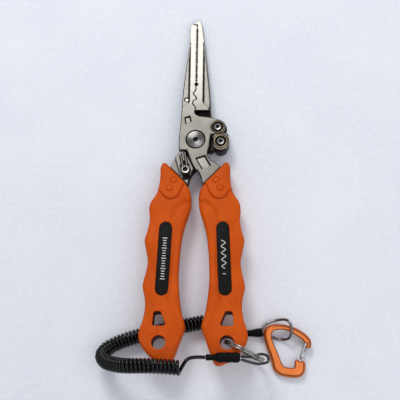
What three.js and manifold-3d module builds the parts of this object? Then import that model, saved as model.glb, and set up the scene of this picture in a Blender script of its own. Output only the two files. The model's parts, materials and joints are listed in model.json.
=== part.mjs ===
// Fishing pliers with lock, side cutters, split ring and a coiled lanyard with a small carabiner.
// Millimetres, +Z up, +Y towards the jaws. The pliers lie nose down on a flat surface at z = 0.
import * as THREE from 'three';
import { mergeVertices } from 'three/addons/utils/BufferGeometryUtils.js';
import Module from 'manifold-3d';

const wasm = await Module();
wasm.setup();

// ---- driving dimensions --------------------------------------------------------------------
const TILT = THREE.MathUtils.degToRad(4.04); // nose-down lean of the pliers on their own handles
const PIVOT = new THREE.Vector3(0, 30.1, 8); // pivot point, on the middle plane of the pliers
const GAP = 0.3; // clearance between neighbouring pieces
const HEAD = 4.5; // half thickness of the steel head
const FACE = 0.15; // half gap between the two overlapping joint plates
const REACH = 8; // a cutting tool this far out passes every face of the pliers
const JAW_ROOT = 20.9; // where the full-thickness jaws begin
const JAW_TAPER = 26; // from here the jaws thin towards the tip
const LEFT_TIP = 85.6;
const RIGHT_TIP = 88.9;
const TOOTH_PITCH = 1.4;
const TOOTH_DEPTH = 0.4;
const TEETH_START = 45;
const NOTCH = [0, 40.1]; // round notch between the jaws
const NOTCH_RADIUS = 1.1;
const TIP_HALF = 1.7; // half thickness at the jaw tips
const WING_DROP = 0.7; // the outer flanks lie lower than the raised middle of the jaws
const GROOVE_DROP = 1.4;
const RIDGE = 4.4; // half width of the raised middle of both jaws together
const GROOVE = 0.8; // width of the groove beside the raised middle
const JAW_HOLE = [-6.5, 29]; // small bore in the flank of the left jaw
const JAW_HOLE_RADIUS = 1.1;
const GRIP = 6.2; // half thickness of the rubber grips
const TANG = 2.6; // half thickness of the steel tang inside a grip
const GRIP_ROUNDING = 2.2;
const INLAY_DEPTH = 1.1;
const INLAY_RADIUS = 4.1;
const INLAY_ENDS = [[18.3, -61.6], [20.0, -101.4]];
const INLAY_SUNK = 0.2; // the inlays lie this far below the rubber
const PIN_PLACES = [[13.7, -29], [16.6, -34.6]];
const PIN_RADIUS = 1.5;
const PIN_PROUD = 0.55; // the tang pins stand this far out of the rubber
const BORE = 4.6; // pivot bore of both plates
const COUNTERBORE = 6.5;
const COUNTERBORE_FLOOR = 2.1;
const BOLT_RADIUS = 3;
const DISC_RADIUS = 5.85; // head of the pivot bolt
const RING_BORE = BOLT_RADIUS + GAP; // inner radius of the washer, the bush and the nut
const SPRING_POCKET = [5.4, 7.9, 1.4]; // inner radius, outer radius, depth each side of the joint
const SPRING_RADIUS = 6.65;
const SPRING_WIRE = 0.9;
const SPRING_TURNS = 1.3;
const UPPER_CUTTER = [14.6, 8.8];
const LOWER_CUTTER = [16.7, -1.4];
const CUT_POINT = [16, 4.1];
const CUT_ANGLE = THREE.MathUtils.degToRad(7);
const CUTTER_RADII = [4.4, 4.9]; // upper, lower
const CUTTER_FLOOR = 1.3;
const CUTTER_TOP = 4.9;
const SCREW_BORE = 1.5; // clearance bore for the cutter screws
const SCREW_HEAD = 1.9; // radius of the cutter screw heads
const LOCK_AXIS = THREE.MathUtils.degToRad(9.5); // the lock slides along this lean
const LOCK_SCREW = [-6.5, -21.2];
const LOCK_BAR_HALF = 1.9; // half width of the lock slide
const LOCK_BAR = [-23.8, -8.3, 0.95, 3.2]; // lower end, upper end, underside and top of the slide
const LOCK_CHANNEL = [-28.4, -4, 0.6]; // lower end, upper end and floor of its channel
const SCREW_CHANNEL = [-28.2, -17.4, 3.2]; // the same of the wider channel for the screw head
const LOCK_SHANK_BORE = 1.3;
const WASHER = [5.9, 2.65]; // outer radius and top of the pivot washer
const BUSH_HALF = 1.9; // half length of the pivot bush
const NUT_UNDERSIDE = -4.8;
const RING_HOLE = [21.3, -135.2, 4.3];
const RING_CENTRE = new THREE.Vector3(31.8, -109.0, 14.3);
const RING_RADII = [12.6, 14.1];
const RING_WIDTH = 3;
const RING_TURN = THREE.MathUtils.degToRad(-25.6); // plan direction of the standing ring
const CORD = 2.3; // diameter of the lanyard cord
const COIL = 9.8; // outer diameter of the coiled stretch
const LOOP = 1.8; // wire of the two end loops
const CARABINER_THICK = 4.6;
const CARABINER_CHAMFER = 0.8;
const GATE_WIRE = 1.3;

// ---- solids --------------------------------------------------------------------------------
function solid(geometry) {
  const plain = geometry.clone();
  plain.deleteAttribute('normal');
  plain.deleteAttribute('uv');
  const merged = mergeVertices(plain, 1e-4);
  return new wasm.Manifold(new wasm.Mesh({
    numProp: 3,
    vertProperties: new Float32Array(merged.attributes.position.array),
    triVerts: new Uint32Array(merged.index.array),
  }));
}

function geometryOf(body) {
  const mesh = body.getMesh();
  const geometry = new THREE.BufferGeometry();
  geometry.setAttribute('position', new THREE.BufferAttribute(mesh.vertProperties, 3));
  geometry.setIndex(new THREE.BufferAttribute(mesh.triVerts, 1));
  return geometry;
}

const union = (...bodies) => bodies.reduce((sum, body) => sum.add(body));
const cut = (body, ...tools) => tools.reduce((rest, tool) => rest.subtract(tool), body);

function shapeOf(points) {
  return new THREE.Shape(points.map(([x, y]) => new THREE.Vector2(x, y)));
}

// A flat piece: the outline stands from low to high along the pliers' normal.
function slab(points, low, high) {
  const geometry = new THREE.ExtrudeGeometry(shapeOf(points), { depth: high - low, bevelEnabled: false });
  return solid(geometry.translate(0, 0, low));
}

// A side profile in (y, z), wider than the head and its cutters.
function sideProfile(points) {
  const width = 80;
  const geometry = new THREE.ExtrudeGeometry(shapeOf(points), { depth: width, bevelEnabled: false });
  geometry.translate(0, 0, -width / 2);
  geometry.applyMatrix4(new THREE.Matrix4().set(0, 0, 1, 0, 1, 0, 0, 0, 0, 1, 0, 0, 0, 0, 0, 1));
  return solid(geometry);
}

function cylinder([x, y], radius, low, high, sides = 24) {
  const geometry = new THREE.CylinderGeometry(radius, radius, high - low, sides);
  return solid(geometry.rotateX(Math.PI / 2).translate(x, y, (low + high) / 2));
}

function hexagon(place, radius, low, high) {
  return cylinder(place, radius, low, high, 6);
}

// A turned piece about the normal: [radius, height] pairs that close on themselves or the axis.
function turned(profile, [x, y], segments = 28) {
  const points = profile.map(([r, z]) => new THREE.Vector2(r, z));
  const geometry = new THREE.LatheGeometry(points, segments);
  return solid(geometry.rotateX(Math.PI / 2).translate(x, y, 0));
}

function smooth(points, steps, closed = false) {
  const curve = new THREE.CatmullRomCurve3(points.map(([x, y]) => new THREE.Vector3(x, y, 0)), closed);
  const list = curve.getSpacedPoints(steps).map((p) => [p.x, p.y]);
  return closed ? list.slice(0, -1) : list;
}

// The same outline moved by a distance: a clockwise outline grows, one that runs the other way shrinks.
function grown(points, distance) {
  return points.map((point, i) => {
    const before = points[(i + points.length - 1) % points.length];
    const after = points[(i + 1) % points.length];
    const along = new THREE.Vector2(after[0] - before[0], after[1] - before[1]).normalize();
    return [point[0] - along.y * distance, point[1] + along.x * distance];
  });
}

function stadium([x0, y0], [x1, y1], radius, steps = 10) {
  const lean = Math.atan2(y1 - y0, x1 - x0);
  const end = (x, y, start) => Array.from({ length: steps + 1 }, (_, i) => {
    const angle = start + (Math.PI * i) / steps;
    return [x + radius * Math.cos(angle), y + radius * Math.sin(angle)];
  });
  return [...end(x1, y1, lean - Math.PI / 2), ...end(x0, y0, lean + Math.PI / 2)];
}

function circle(radius, sides) {
  return shapeOf(Array.from({ length: sides }, (_, i) => {
    const angle = (2 * Math.PI * i) / sides;
    return [radius * Math.cos(angle), radius * Math.sin(angle)];
  }));
}

function tube(points, diameter, steps, sides = 8) {
  const curve = new THREE.CatmullRomCurve3(points.map(([x, y, z]) => new THREE.Vector3(x, y, z)));
  return new THREE.ExtrudeGeometry(circle(diameter / 2, sides), {
    steps,
    bevelEnabled: false,
    extrudePath: curve,
  });
}

function mesh(name, shape, color, roughness = 0.5, metalness = 0) {
  const geometry = shape.isBufferGeometry ? shape : geometryOf(shape);
  const node = new THREE.Mesh(geometry, new THREE.MeshStandardMaterial({ color, roughness, metalness }));
  node.name = name;
  return node;
}

// ---- grips ---------------------------------------------------------------------------------
// Right grip, from the top corner down the finger side and back up the inner side.
const GRIP_POINTS = [
  [21.0, -16.2], [22.9, -19.5], [22.9, -25], [23.6, -32], [25.6, -38.2], [28.7, -43], [29.8, -47.6],
  [29.3, -55], [30.5, -62.6], [32.1, -69], [30.9, -75.8], [29.8, -83], [30.7, -90.2], [32.5, -98.8],
  [31.2, -105.8], [30.7, -112.4], [31.8, -120.6], [33.8, -127], [34.2, -131.8], [32.3, -137],
  [28.8, -141.6], [25.2, -145], [20.6, -147.2], [16.4, -148.8], [13.6, -147.9], [11.8, -144.2],
  [9.9, -139.1], [7.3, -131.6], [5.3, -126.2], [5.7, -121.9], [7.5, -116.2], [9, -106.2],
  [9.9, -94.5], [9.5, -81.3], [8.3, -68], [6.1, -57.9], [3.3, -49.2], [2.5, -42.6], [3.1, -36.4],
  [5.9, -30.9], [10.4, -26], [16, -20.1], [18.6, -17.2],
];
const GRIP_OUTLINE = smooth(GRIP_POINTS, 84, true);
const D_HOLE = [[20.4, -115.8], [24.9, -115.8], [25.3, -124.8], [17, -124.8]];

// Tang inside the grip, wide enough for both pins; the same outline grown is the grip's pocket.
const TANG_POINTS = [
  [8.6, -24], [15.6, -19.4], [19, -24], [22, -45], [23.6, -104], [15.6, -104], [13.4, -60], [8.8, -38],
];

function rightGrip() {
  const round = { bevelThickness: GRIP_ROUNDING, bevelSize: 2, bevelOffset: -2, bevelSegments: 2 };
  const blank = new THREE.ExtrudeGeometry(shapeOf(GRIP_OUTLINE), {
    depth: 2 * (GRIP - round.bevelThickness),
    ...round,
  });
  blank.translate(0, 0, -(GRIP - round.bevelThickness));
  const pocket = grown(stadium(...INLAY_ENDS, INLAY_RADIUS), -GAP);
  const bores = PIN_PLACES.map((place) => cylinder(place, PIN_RADIUS + GAP, -GRIP - 1, GRIP + 1, 14));
  return cut(
    solid(blank),
    slab(grown(TANG_POINTS, GAP), -TANG - GAP, TANG + GAP),
    slab(pocket, GRIP - INLAY_DEPTH, GRIP + 1),
    slab(pocket, -GRIP - 1, -GRIP + INLAY_DEPTH),
    slab(D_HOLE, -GRIP - 1, GRIP + 1),
    cylinder(RING_HOLE, RING_HOLE[2], -GRIP - 1, GRIP + 1),
    ...bores,
  );
}

function inlay(side) {
  const low = side > 0 ? GRIP - INLAY_DEPTH + GAP : -GRIP + INLAY_SUNK;
  const high = side > 0 ? GRIP - INLAY_SUNK : -GRIP + INLAY_DEPTH - GAP;
  return slab(stadium(...INLAY_ENDS, INLAY_RADIUS), low, high);
}

function tangPin(place) {
  const half = GRIP + PIN_PROUD;
  const end = [[PIN_RADIUS, half - 0.5], [PIN_RADIUS - 0.4, half - 0.1], [0, half]];
  const otherEnd = end.map(([r, z]) => [r, -z]).reverse();
  return turned([...otherEnd, ...end], place, 12);
}

// ---- levers --------------------------------------------------------------------------------
// One lever holds one jaw, one joint plate and the tang on the other side. It is described here
// for the front lever, whose jaw is on the left; the rear lever is the same shape turned over.
// Parting line between the jaws, from the root to the tip: a wave, a round notch and fine teeth.
function partingLine(tip) {
  const wave = smooth([[-0.5, JAW_ROOT], [-0.6, 23.3], [-2.2, 25.5], [-1.9, 27.6], [0.3, 29.3], [-0.4, 31],
    [-1.9, 33.2], [-0.4, 35.7], [-0.2, 38.6]], 22);
  const teeth = [];
  for (let y = TEETH_START; y + TOOTH_PITCH < tip - 1; y += TOOTH_PITCH) {
    teeth.push([-TOOTH_DEPTH, y], [TOOTH_DEPTH, y + TOOTH_PITCH / 2]);
  }
  return [...wave, [0, 40], ...teeth];
}

const JAW_FLANK = [
  [9.6, JAW_ROOT], [9.7, 26], [9.1, 34.8], [8.1, 45.2], [6.8, 57.6], [5.8, 66.4], [4.9, 74],
];

function leftJawOutline() {
  const line = partingLine(LEFT_TIP).map(([x, y]) => [x - FACE, y]);
  const flank = JAW_FLANK.map(([x, y]) => [-x, y]);
  return [...line, [-FACE - 0.2, LEFT_TIP - 0.3], [-3.4, LEFT_TIP + 0.3], [-4.5, LEFT_TIP - 1.4],
    [-4.9, 79], ...flank.reverse()];
}

// The right jaw ends in a small beak that reaches over the end of the left jaw.
function rightJawOutline() {
  const line = partingLine(LEFT_TIP).map(([x, y]) => [x + FACE, y]);
  return [...line, [FACE, LEFT_TIP - 0.4], [FACE, LEFT_TIP + 0.2], [-1.5, LEFT_TIP + 0.7],
    [-1.3, LEFT_TIP + 1.5], [1.7, RIGHT_TIP], [2.7, RIGHT_TIP - 1.2], [3.4, 84.4], [4, 78],
    ...[...JAW_FLANK].reverse()].reverse();
}

// Full-thickness jaw, thinned to the tip, with a raised middle, a groove and lower flanks.
function jaw(outline, side) {
  const near = 10;
  const far = 95;
  const slope = (drop) => {
    const tipHeight = TIP_HALF - drop * 0.3; // the steps run out towards the tip
    return [[near, HEAD - drop], [JAW_TAPER, HEAD - drop], [RIGHT_TIP, tipHeight], [far, tipHeight],
      [far, REACH], [near, REACH]];
  };
  const both = (region, drop) => {
    const above = sideProfile(slope(drop));
    const below = sideProfile(slope(drop).map(([y, z]) => [y, -z]).reverse());
    return [slab(region, 0, REACH).intersect(above), slab(region, -REACH, 0).intersect(below)];
  };
  const edge = side * RIDGE;
  const flank = [[edge, 70], [edge, 27.2], [side * 5.6, 25], [side * 9.9, 21.9], [side * 14, 21.9],
    [side * 14, 70]];
  const groove = [[edge, 68], [edge, 27.4], [side * 5.8, 25.1], [side * 9.9, 22.1], [side * 9.9, 23.3],
    [side * 6.2, 26], [edge + side * GROOVE, 27.6], [edge + side * GROOVE, 68]];
  const order = (list) => (side > 0 ? list.reverse() : list);
  return cut(
    slab(outline, -HEAD, HEAD),
    ...both([[-20, near], [20, near], [20, far], [-20, far]], 0),
    ...both(order(flank), WING_DROP),
    ...both(order(groove), GROOVE_DROP),
    cylinder(NOTCH, NOTCH_RADIUS, -REACH, REACH, 14),
  );
}

// Joint plate of a lever down to the point where its tang enters the grip.
const PLATE_LEFT = [[5.4, -33], [3.9, -27.2], [2.6, -23.7], [1.3, -21.8], [0.2, -21.3], [-1.4, -18.8],
  [-3.5, -13.9], [-5, -9.7], [-5.8, -7.6], [-11, -7.6], [-11.3, -3.9], [-11.1, 2.5], [-10.4, 10.3],
  [-10, 15.4], [-9.6, 21.2]];
const PLATE_TOP = [[-0.6, 21.2], [-0.9, 20.3], [-0.1, 18.3], [2, 17], [6.1, 16.4], [10.2, 15.6]];
const PLATE_RIGHT = [[10.2, 3.6], [9.6, -0.6], [9.3, -4.9], [8.3, -7.7], [8.1, -10.5], [8.7, -12.6],
  [10.4, -14.7], [12.4, -15.8], [15.7, -17.9], [17.5, -20], [20, -26], [12, -34]];
const UPPER_BOSS = [
  [14.1, 14.7], [17, 13.9], [19.3, 12.1], [20.7, 9.4], [21, 6.6], [20.6, 3.2], [10.2, 2.4],
];
const LOWER_BOSS = [[-11.9, 6], [-11.7, -2.2], [-12, -5], [-13.7, -8.1], [-16.7, -9], [-20.2, -7.5],
  [-22.1, -3.2], [-22.2, 0.6], [-21.4, 6]];
const LOWER_ARM = [[-13, 2.4], [-8, 3], [-8, -6], [-12, -6.6], [-14, -6]];

// The side of the lever that lies behind the other lever's plate starts clear of its sweep.
const UNDERSIDE_FOOT = [[17.5, -20], [20, -26], [12, -34], [5.4, -33]];
const RIGHT_UNDERSIDE = [[3.6, -24.8], [7, -17.4], [15.4, -17.4], ...UNDERSIDE_FOOT];
const LEFT_UNDERSIDE = [
  [3.4, -25], [1.2, -20.6], [3.4, -15.8], [5.6, -11.8], [8.6, -11.4], [11.4, -9.3], [12.6, -10.4],
  [13.9, -14], [14.7, -14.4], [16.3, -18.6], ...UNDERSIDE_FOOT,
];
const LOWER_WINDOW = [[4.4, -21], [10.3, -18.6], [6.4, -11.2], [0.1, -13.2]];
const LOWER_WINDOW_DEPTH = 1.2;
const UPPER_WINDOW = [[-6.6, 11], [-2.8, 12.8], [-4, 17.1], [-7.7, 15.7]];
const UPPER_WINDOW_DEPTH = 0.9;

function lever(jawSolid, plate, underside, ...extras) {
  const tang = slab(TANG_POINTS, -TANG, TANG);
  const head = union(slab(plate, FACE, HEAD), slab(underside, -HEAD, FACE + 0.1), ...extras);
  const gripZone = slab(grown(GRIP_OUTLINE, GAP), -REACH, REACH);
  const [inner, outer, depth] = SPRING_POCKET;
  const springPocket = cylinder([0, 0], outer, -1, depth).subtract(cylinder([0, 0], inner, -2, depth + 1));
  return cut(
    union(cut(head, gripZone), jawSolid, tang),
    springPocket,
    cylinder([0, 0], BORE, -REACH, REACH),
    cylinder([0, 0], COUNTERBORE, COUNTERBORE_FLOOR, REACH, 32),
    ...PIN_PLACES.map((place) => cylinder(place, PIN_RADIUS + GAP, -REACH, REACH, 14)),
  );
}

// Everything on one side of the cutting line and a thin layer of the other side, half a cutter gap thick.
function besideCut(side) {
  const deep = 40;
  const box = new THREE.BoxGeometry(60, deep, 30).translate(0, side * (deep / 2 - FACE), 0);
  return solid(box.rotateZ(CUT_ANGLE).translate(...CUT_POINT, 0));
}

const aboveCut = besideCut(1);
const belowCut = besideCut(-1);
const turnOver = (body) => solid(geometryOf(body).rotateY(Math.PI));

function frontLever() {
  const plate = [...PLATE_LEFT, ...PLATE_TOP, ...UPPER_BOSS, ...PLATE_RIGHT].reverse();
  const body = lever(jaw(leftJawOutline(), -1), plate, RIGHT_UNDERSIDE);
  const pastCut = slab([[10.4, -3], [24, -3], [24, 8], [10.4, 8]], -REACH, REACH).intersect(belowCut);
  return cut(
    body,
    cylinder(UPPER_CUTTER, CUTTER_RADII[0] + GAP, CUTTER_FLOOR - GAP, REACH),
    pastCut,
    cylinder(UPPER_CUTTER, SCREW_BORE, -REACH, REACH, 14),
    slab(LOWER_WINDOW, HEAD - LOWER_WINDOW_DEPTH, REACH),
    slab(UPPER_WINDOW, HEAD - UPPER_WINDOW_DEPTH, REACH),
    cylinder(JAW_HOLE, JAW_HOLE_RADIUS, -REACH, REACH, 12),
  );
}

// Straight bar along the lock's own axis: its half width, its two ends and its two heights.
function lockBar(half, bottom, top, low, high) {
  const [x, y] = LOCK_SCREW;
  const bar = new THREE.BoxGeometry(2 * half, top - bottom, high - low);
  bar.translate(0, (top + bottom) / 2 - y, (low + high) / 2).rotateZ(LOCK_AXIS);
  return solid(bar.translate(x, y, 0));
}

function rearLever() {
  const plate = [...PLATE_LEFT, ...PLATE_TOP, ...PLATE_RIGHT].reverse();
  const jawTurned = turnOver(jaw(rightJawOutline(), 1));
  const arm = union(slab(LOWER_BOSS, -HEAD, HEAD), slab(LOWER_ARM, FACE, HEAD));
  const body = turnOver(lever(jawTurned, plate, LEFT_UNDERSIDE, arm));
  const pastCut = slab([[11.5, -3], [24, -3], [24, 12], [11.5, 12]], -REACH, REACH).intersect(aboveCut);
  const lockChannel = lockBar(LOCK_BAR_HALF + 0.4, ...LOCK_CHANNEL, REACH);
  const screwChannel = lockBar(LOCK_BAR_HALF + 1.1, ...SCREW_CHANNEL, REACH);
  return cut(
    body,
    cylinder(LOWER_CUTTER, CUTTER_RADII[1] + GAP, CUTTER_FLOOR - GAP, REACH),
    pastCut,
    cylinder(LOWER_CUTTER, SCREW_BORE, -3, REACH, 14),
    lockChannel,
    screwChannel,
  );
}

// ---- small parts of the head ---------------------------------------------------------------
// A screw with a flat head and a hexagon socket, from its lower end upwards.
function socketScrew(place, { shank, head, low, under, top, chamfer, socket, socketFloor }, segments) {
  const profile = [[0, low], [shank, low], [shank, under], [head, under], [head, top - chamfer[1]],
    [head - chamfer[0], top], [0, top]];
  return cut(turned(profile, place, segments), hexagon(place, socket, socketFloor, REACH));
}

function pivotBolt() {
  return socketScrew([0, 0], {
    shank: BOLT_RADIUS,
    head: DISC_RADIUS,
    low: -4.1,
    under: 2.9,
    top: 4.9,
    chamfer: [0.45, 0.4],
    socket: 2,
    socketFloor: 3.2,
  }, 36);
}

function ring(inner, outer, low, high) {
  const profile = [[inner, low], [outer, low], [outer, high], [inner, high], [inner, low]];
  return turned(profile, [0, 0], 28);
}

function returnSpring() {
  const steps = 26;
  const rise = 1.44;
  const points = Array.from({ length: steps + 1 }, (_, i) => {
    const angle = (2 * Math.PI * SPRING_TURNS * i) / steps;
    const height = rise * (i / steps - 0.5);
    return [SPRING_RADIUS * Math.cos(angle), SPRING_RADIUS * Math.sin(angle), height];
  });
  return tube(points, SPRING_WIRE, 40, 6);
}

function cutter(place, radius, half) {
  return cut(
    cylinder(place, radius, CUTTER_FLOOR, CUTTER_TOP),
    half,
    cylinder(place, SCREW_HEAD + GAP, CUTTER_TOP - 1.5, REACH, 18),
    cylinder(place, SCREW_BORE, -REACH, REACH, 14),
  );
}

function cutterScrew(place, low) {
  return socketScrew(place, {
    shank: SCREW_BORE - GAP,
    head: SCREW_HEAD,
    low,
    under: CUTTER_TOP - 1.2,
    top: CUTTER_TOP + 0.4,
    chamfer: [0.3, 0.3],
    socket: 1,
    socketFloor: 4.2,
  }, 18);
}

// The slide's leading corner is cut off where the other lever's plate sweeps past it.
function lockSlide() {
  const bar = lockBar(LOCK_BAR_HALF, ...LOCK_BAR);
  const corner = slab([[-8.4, -6], [-12, -6], [-12, -10.2]], -1, REACH);
  return cut(bar, corner, cylinder(LOCK_SCREW, LOCK_SHANK_BORE, -1, REACH, 12));
}

function lockScrew() {
  return socketScrew(LOCK_SCREW, {
    shank: 1,
    head: 2.6,
    low: 1.2,
    under: 3.5,
    top: 5.5,
    chamfer: [0.4, 0.4],
    socket: 1.5,
    socketFloor: 4.4,
  }, 20);
}

// ---- lanyard -------------------------------------------------------------------------------
// Places are in the object's own frame; the cord lies on the surface under the left handle, turns
// back over its end and reaches the split ring through a crimped sleeve.
const COIL_PATH = [
  [6.4, -89.8, 5.1], [-7, -92.4, 5.1], [-23, -95.8, 5.1], [-35, -98.5, 5.1], [-47, -102.4, 5.1],
  [-54.6, -106.4, 6.4], [-57.8, -111.2, 10.6], [-54.8, -115.8, 16.6], [-47, -118.3, 22.8],
  [-38, -119.2, 28.2], [-28, -119.3, 30.5], [-18, -119.6, 30.8], [-7, -120.5, 30.8],
];
const TAIL_PATH = [
  [7.1, -89.8, 3.2], [9.4, -90.2, 3.1], [14, -91.6, 2.6], [24, -94.6, 2.4], [31, -96.4, 2.6],
  [34.9, -96.9, 2.7],
];
const LEAD_PATH = [
  [-6.35, -120.4, 30.7], [-4.9, -120.1, 30.7], [-3.2, -117.4, 30.6], [-0.9, -114.6, 30.2],
  [3.2, -113.9, 29.4], [8.2, -113.9, 28.6],
];

// Point near the split ring: along it, out of its plane, and up from its centre.
function atRing(along, out, up) {
  const [c, s] = [Math.cos(RING_TURN), Math.sin(RING_TURN)];
  return [RING_CENTRE.x + along * c - out * s, RING_CENTRE.y + along * s + out * c, RING_CENTRE.z + up];
}

function splitRing() {
  const [inner, outer] = RING_RADII;
  const half = RING_WIDTH / 2;
  const profile = [[inner, -half], [outer, -half], [outer, half], [inner, half], [inner, -half]];
  const geometry = new THREE.LatheGeometry(profile.map(([r, z]) => new THREE.Vector2(r, z)), 40);
  return geometry.rotateZ(RING_TURN).translate(RING_CENTRE.x, RING_CENTRE.y, RING_CENTRE.z);
}

// A turned sleeve between two points; its profile pairs a radius with a share of the length.
function sleeve(from, to, profile, sides = 14) {
  const start = new THREE.Vector3(...from);
  const along = new THREE.Vector3(...to).sub(start);
  const points = profile.map(([r, t]) => new THREE.Vector2(r, t * along.length()));
  const geometry = new THREE.LatheGeometry(points, sides);
  const axis = new THREE.Vector3(0, 1, 0);
  const turn = new THREE.Quaternion().setFromUnitVectors(axis, along.clone().normalize());
  return geometry.applyQuaternion(turn).translate(...from);
}

const RING_SLEEVE = [[0, 0], [1.8, 0], [1.8, 0.28], [3.2, 0.29], [3.2, 1], [0, 1]];
const CLIP_SLEEVE = [[0, 0], [2.6, 0], [2.6, 0.86], [1.9, 1], [0, 1]];

// Wire loop through the split ring; both ends stop just short of the sleeve.
const RING_LOOP = [
  atRing(1.5, -6.1, 13.7), atRing(6, -5.3, 11.6), atRing(11, -4, 9.8), atRing(15, -1.5, 8.6),
  atRing(16.4, 0.8, 8), atRing(14.4, 3.2, 7.3), atRing(10.6, 2.6, 6.9), atRing(7.5, 0, 7.6),
  atRing(4.6, -2.5, 9.6), atRing(2, -3.8, 12.6), atRing(0.6, -4.3, 13.7),
];

// Wire loop round the bar of the carabiner; both ends stop just short of the other sleeve.
const CLIP_LOOP = [
  [42.9, -95.1, 2.7], [43.6, -93.3, 2.6], [46.4, -90.2, 2.5], [51.4, -88.4, 2.8], [55.8, -87.7, 4.6],
  [59, -88.2, 7.3], [61.2, -90.6, 9], [61.9, -94.4, 9.3], [61.5, -98.4, 8], [59.8, -101, 4.4],
  [56.2, -101.2, 1.6], [52, -100.2, 0.98], [48, -98.6, 0.98], [44.6, -97.5, 0.98], [43, -97, 1.8],
];

// ---- carabiner -----------------------------------------------------------------------------
// Drawn flat about the crossing of the loop, then leaned so that its far end rests on the surface.
const CARABINER_PLACE = [47.5, -96.6, 2.35];
const CARABINER_LEAN = THREE.MathUtils.degToRad(4.6);
const CARABINER_OUTER = [
  [26.3, -9.3], [26.9, -6.1], [25.9, -3.2], [22.6, 0.1], [18.2, 2.8], [13.8, 4.6], [9.6, 5.5], [4.6, 5.7],
  [0.6, 5.2], [-2.4, 3.2], [-3.5, -0.2], [-3.2, -3.4], [-1.8, -8.4], [0.2, -14.4], [1.5, -18.8],
  [2.9, -23.2], [6.6, -26.2], [11.2, -27.4], [17, -27.9], [20.6, -26.6], [22.6, -23.6], [23, -18.4],
];
const CARABINER_INNER = [
  [20.6, -17], [19.4, -18], [18.3, -16.6], [16.9, -16.6], [16.2, -18.2], [15.8, -21.4], [12, -21.5],
  [9.2, -20.2], [8, -17.4], [6.8, -13.6], [4.4, -8.4], [2.6, -3.4], [2.4, -0.4], [4, 1.4], [8.6, 1.9],
  [12.2, 1.2], [16.2, -0.7], [20.6, -3.6], [22.7, -6.3], [23.2, -9.2],
];
const GATE_HINGE = [23.9, -6.6];

function carabinerBody() {
  const outline = [...smooth(CARABINER_OUTER, 44), ...smooth(CARABINER_INNER, 34)];
  const geometry = new THREE.ExtrudeGeometry(shapeOf(outline), {
    depth: CARABINER_THICK - 2 * CARABINER_CHAMFER,
    bevelThickness: CARABINER_CHAMFER,
    bevelSize: CARABINER_CHAMFER,
    bevelOffset: -CARABINER_CHAMFER,
    bevelSegments: 1,
  });
  const gateBore = cylinder(GATE_HINGE, GATE_WIRE / 2 + GAP, -2, REACH, 10);
  return cut(solid(geometry.translate(0, 0, CARABINER_CHAMFER)), gateBore);
}

// One bent wire: from the bore of the nose over the front face, down through the fork of the hook
// and part of the way back along the rear face.
function carabinerGate() {
  const [x, y] = GATE_HINGE;
  const top = CARABINER_THICK + 1;
  const points = [[x, y, 3], [x, y, top - 0.5], [x - 0.6, y - 1, top], [x - 2, y - 4, top - 0.2],
    [x - 3.2, y - 8, top - 1], [x - 3.5, y - 9, 2.3], [x - 3.2, y - 8, 0.1], [x - 1.6, y - 4, -0.4]];
  return tube(points, GATE_WIRE, 28, 6);
}

// ---- the whole object ----------------------------------------------------------------------
// Colour, roughness and metalness of each material.
const STEEL = [0xc8c3b7, 0.35, 1];
const BRONZE = [0xb89a5a, 0.4, 1];
const CARBIDE = [0x5a5148, 0.4, 1];
const WIRE = [0x9a9894, 0.4, 1];
const DARK = [0x1c1b1a, 0.6, 0];
const ORANGE = [0xd06220, 0.55, 0];
const POLISHED = [0xdedbd2, 0.15, 1];
const ANODISED = [0xc8703c, 0.35, 1];
const BLACK_CORD = [0x101012, 0.25, 0];

const pliers = new THREE.Group();
pliers.position.copy(PIVOT);
pliers.rotation.x = -TILT;
pliers.add(
  mesh('front_lever', frontLever(), ...STEEL),
  mesh('rear_lever', rearLever(), ...STEEL),
  mesh('pivot_bolt', pivotBolt(), ...POLISHED),
  mesh('pivot_washer', ring(RING_BORE, WASHER[0], COUNTERBORE_FLOOR + 0.1, WASHER[1]), ...BRONZE),
  mesh('pivot_bush', ring(RING_BORE, BORE - GAP, -BUSH_HALF, BUSH_HALF), ...BRONZE),
  mesh('pivot_nut', ring(RING_BORE, DISC_RADIUS, NUT_UNDERSIDE, -COUNTERBORE_FLOOR - 0.2), ...STEEL),
  mesh('return_spring', returnSpring(), ...STEEL),
  mesh('upper_cutter', cutter(UPPER_CUTTER, CUTTER_RADII[0], belowCut), ...CARBIDE),
  mesh('upper_cutter_screw', cutterScrew(UPPER_CUTTER, 0.4), ...DARK),
  mesh('lower_cutter', cutter(LOWER_CUTTER, CUTTER_RADII[1], aboveCut), ...CARBIDE),
  mesh('lower_cutter_screw', cutterScrew(LOWER_CUTTER, -2), ...DARK),
  mesh('lock_slide', lockSlide(), ...STEEL),
  mesh('lock_screw', lockScrew(), ...STEEL),
);

for (const [side, turn] of [['right', 0], ['left', Math.PI]]) {
  const half = new THREE.Group();
  half.rotation.y = turn;
  half.add(mesh(`${side}_grip`, rightGrip(), ...ORANGE));
  const faces = side === 'right' ? ['front', 'back'] : ['back', 'front'];
  half.add(mesh(`${side}_inlay_${faces[0]}`, inlay(1), ...DARK));
  half.add(mesh(`${side}_inlay_${faces[1]}`, inlay(-1), ...DARK));
  half.add(mesh(`${side}_tang_pin_upper`, tangPin(PIN_PLACES[0]), ...ORANGE));
  half.add(mesh(`${side}_tang_pin_lower`, tangPin(PIN_PLACES[1]), ...ORANGE));
  pliers.add(half);
}

const carabiner = new THREE.Group();
carabiner.position.set(...CARABINER_PLACE);
carabiner.rotation.x = CARABINER_LEAN;
carabiner.add(
  mesh('carabiner_body', carabinerBody(), ...ANODISED),
  mesh('carabiner_gate', carabinerGate(), ...POLISHED),
);

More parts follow.
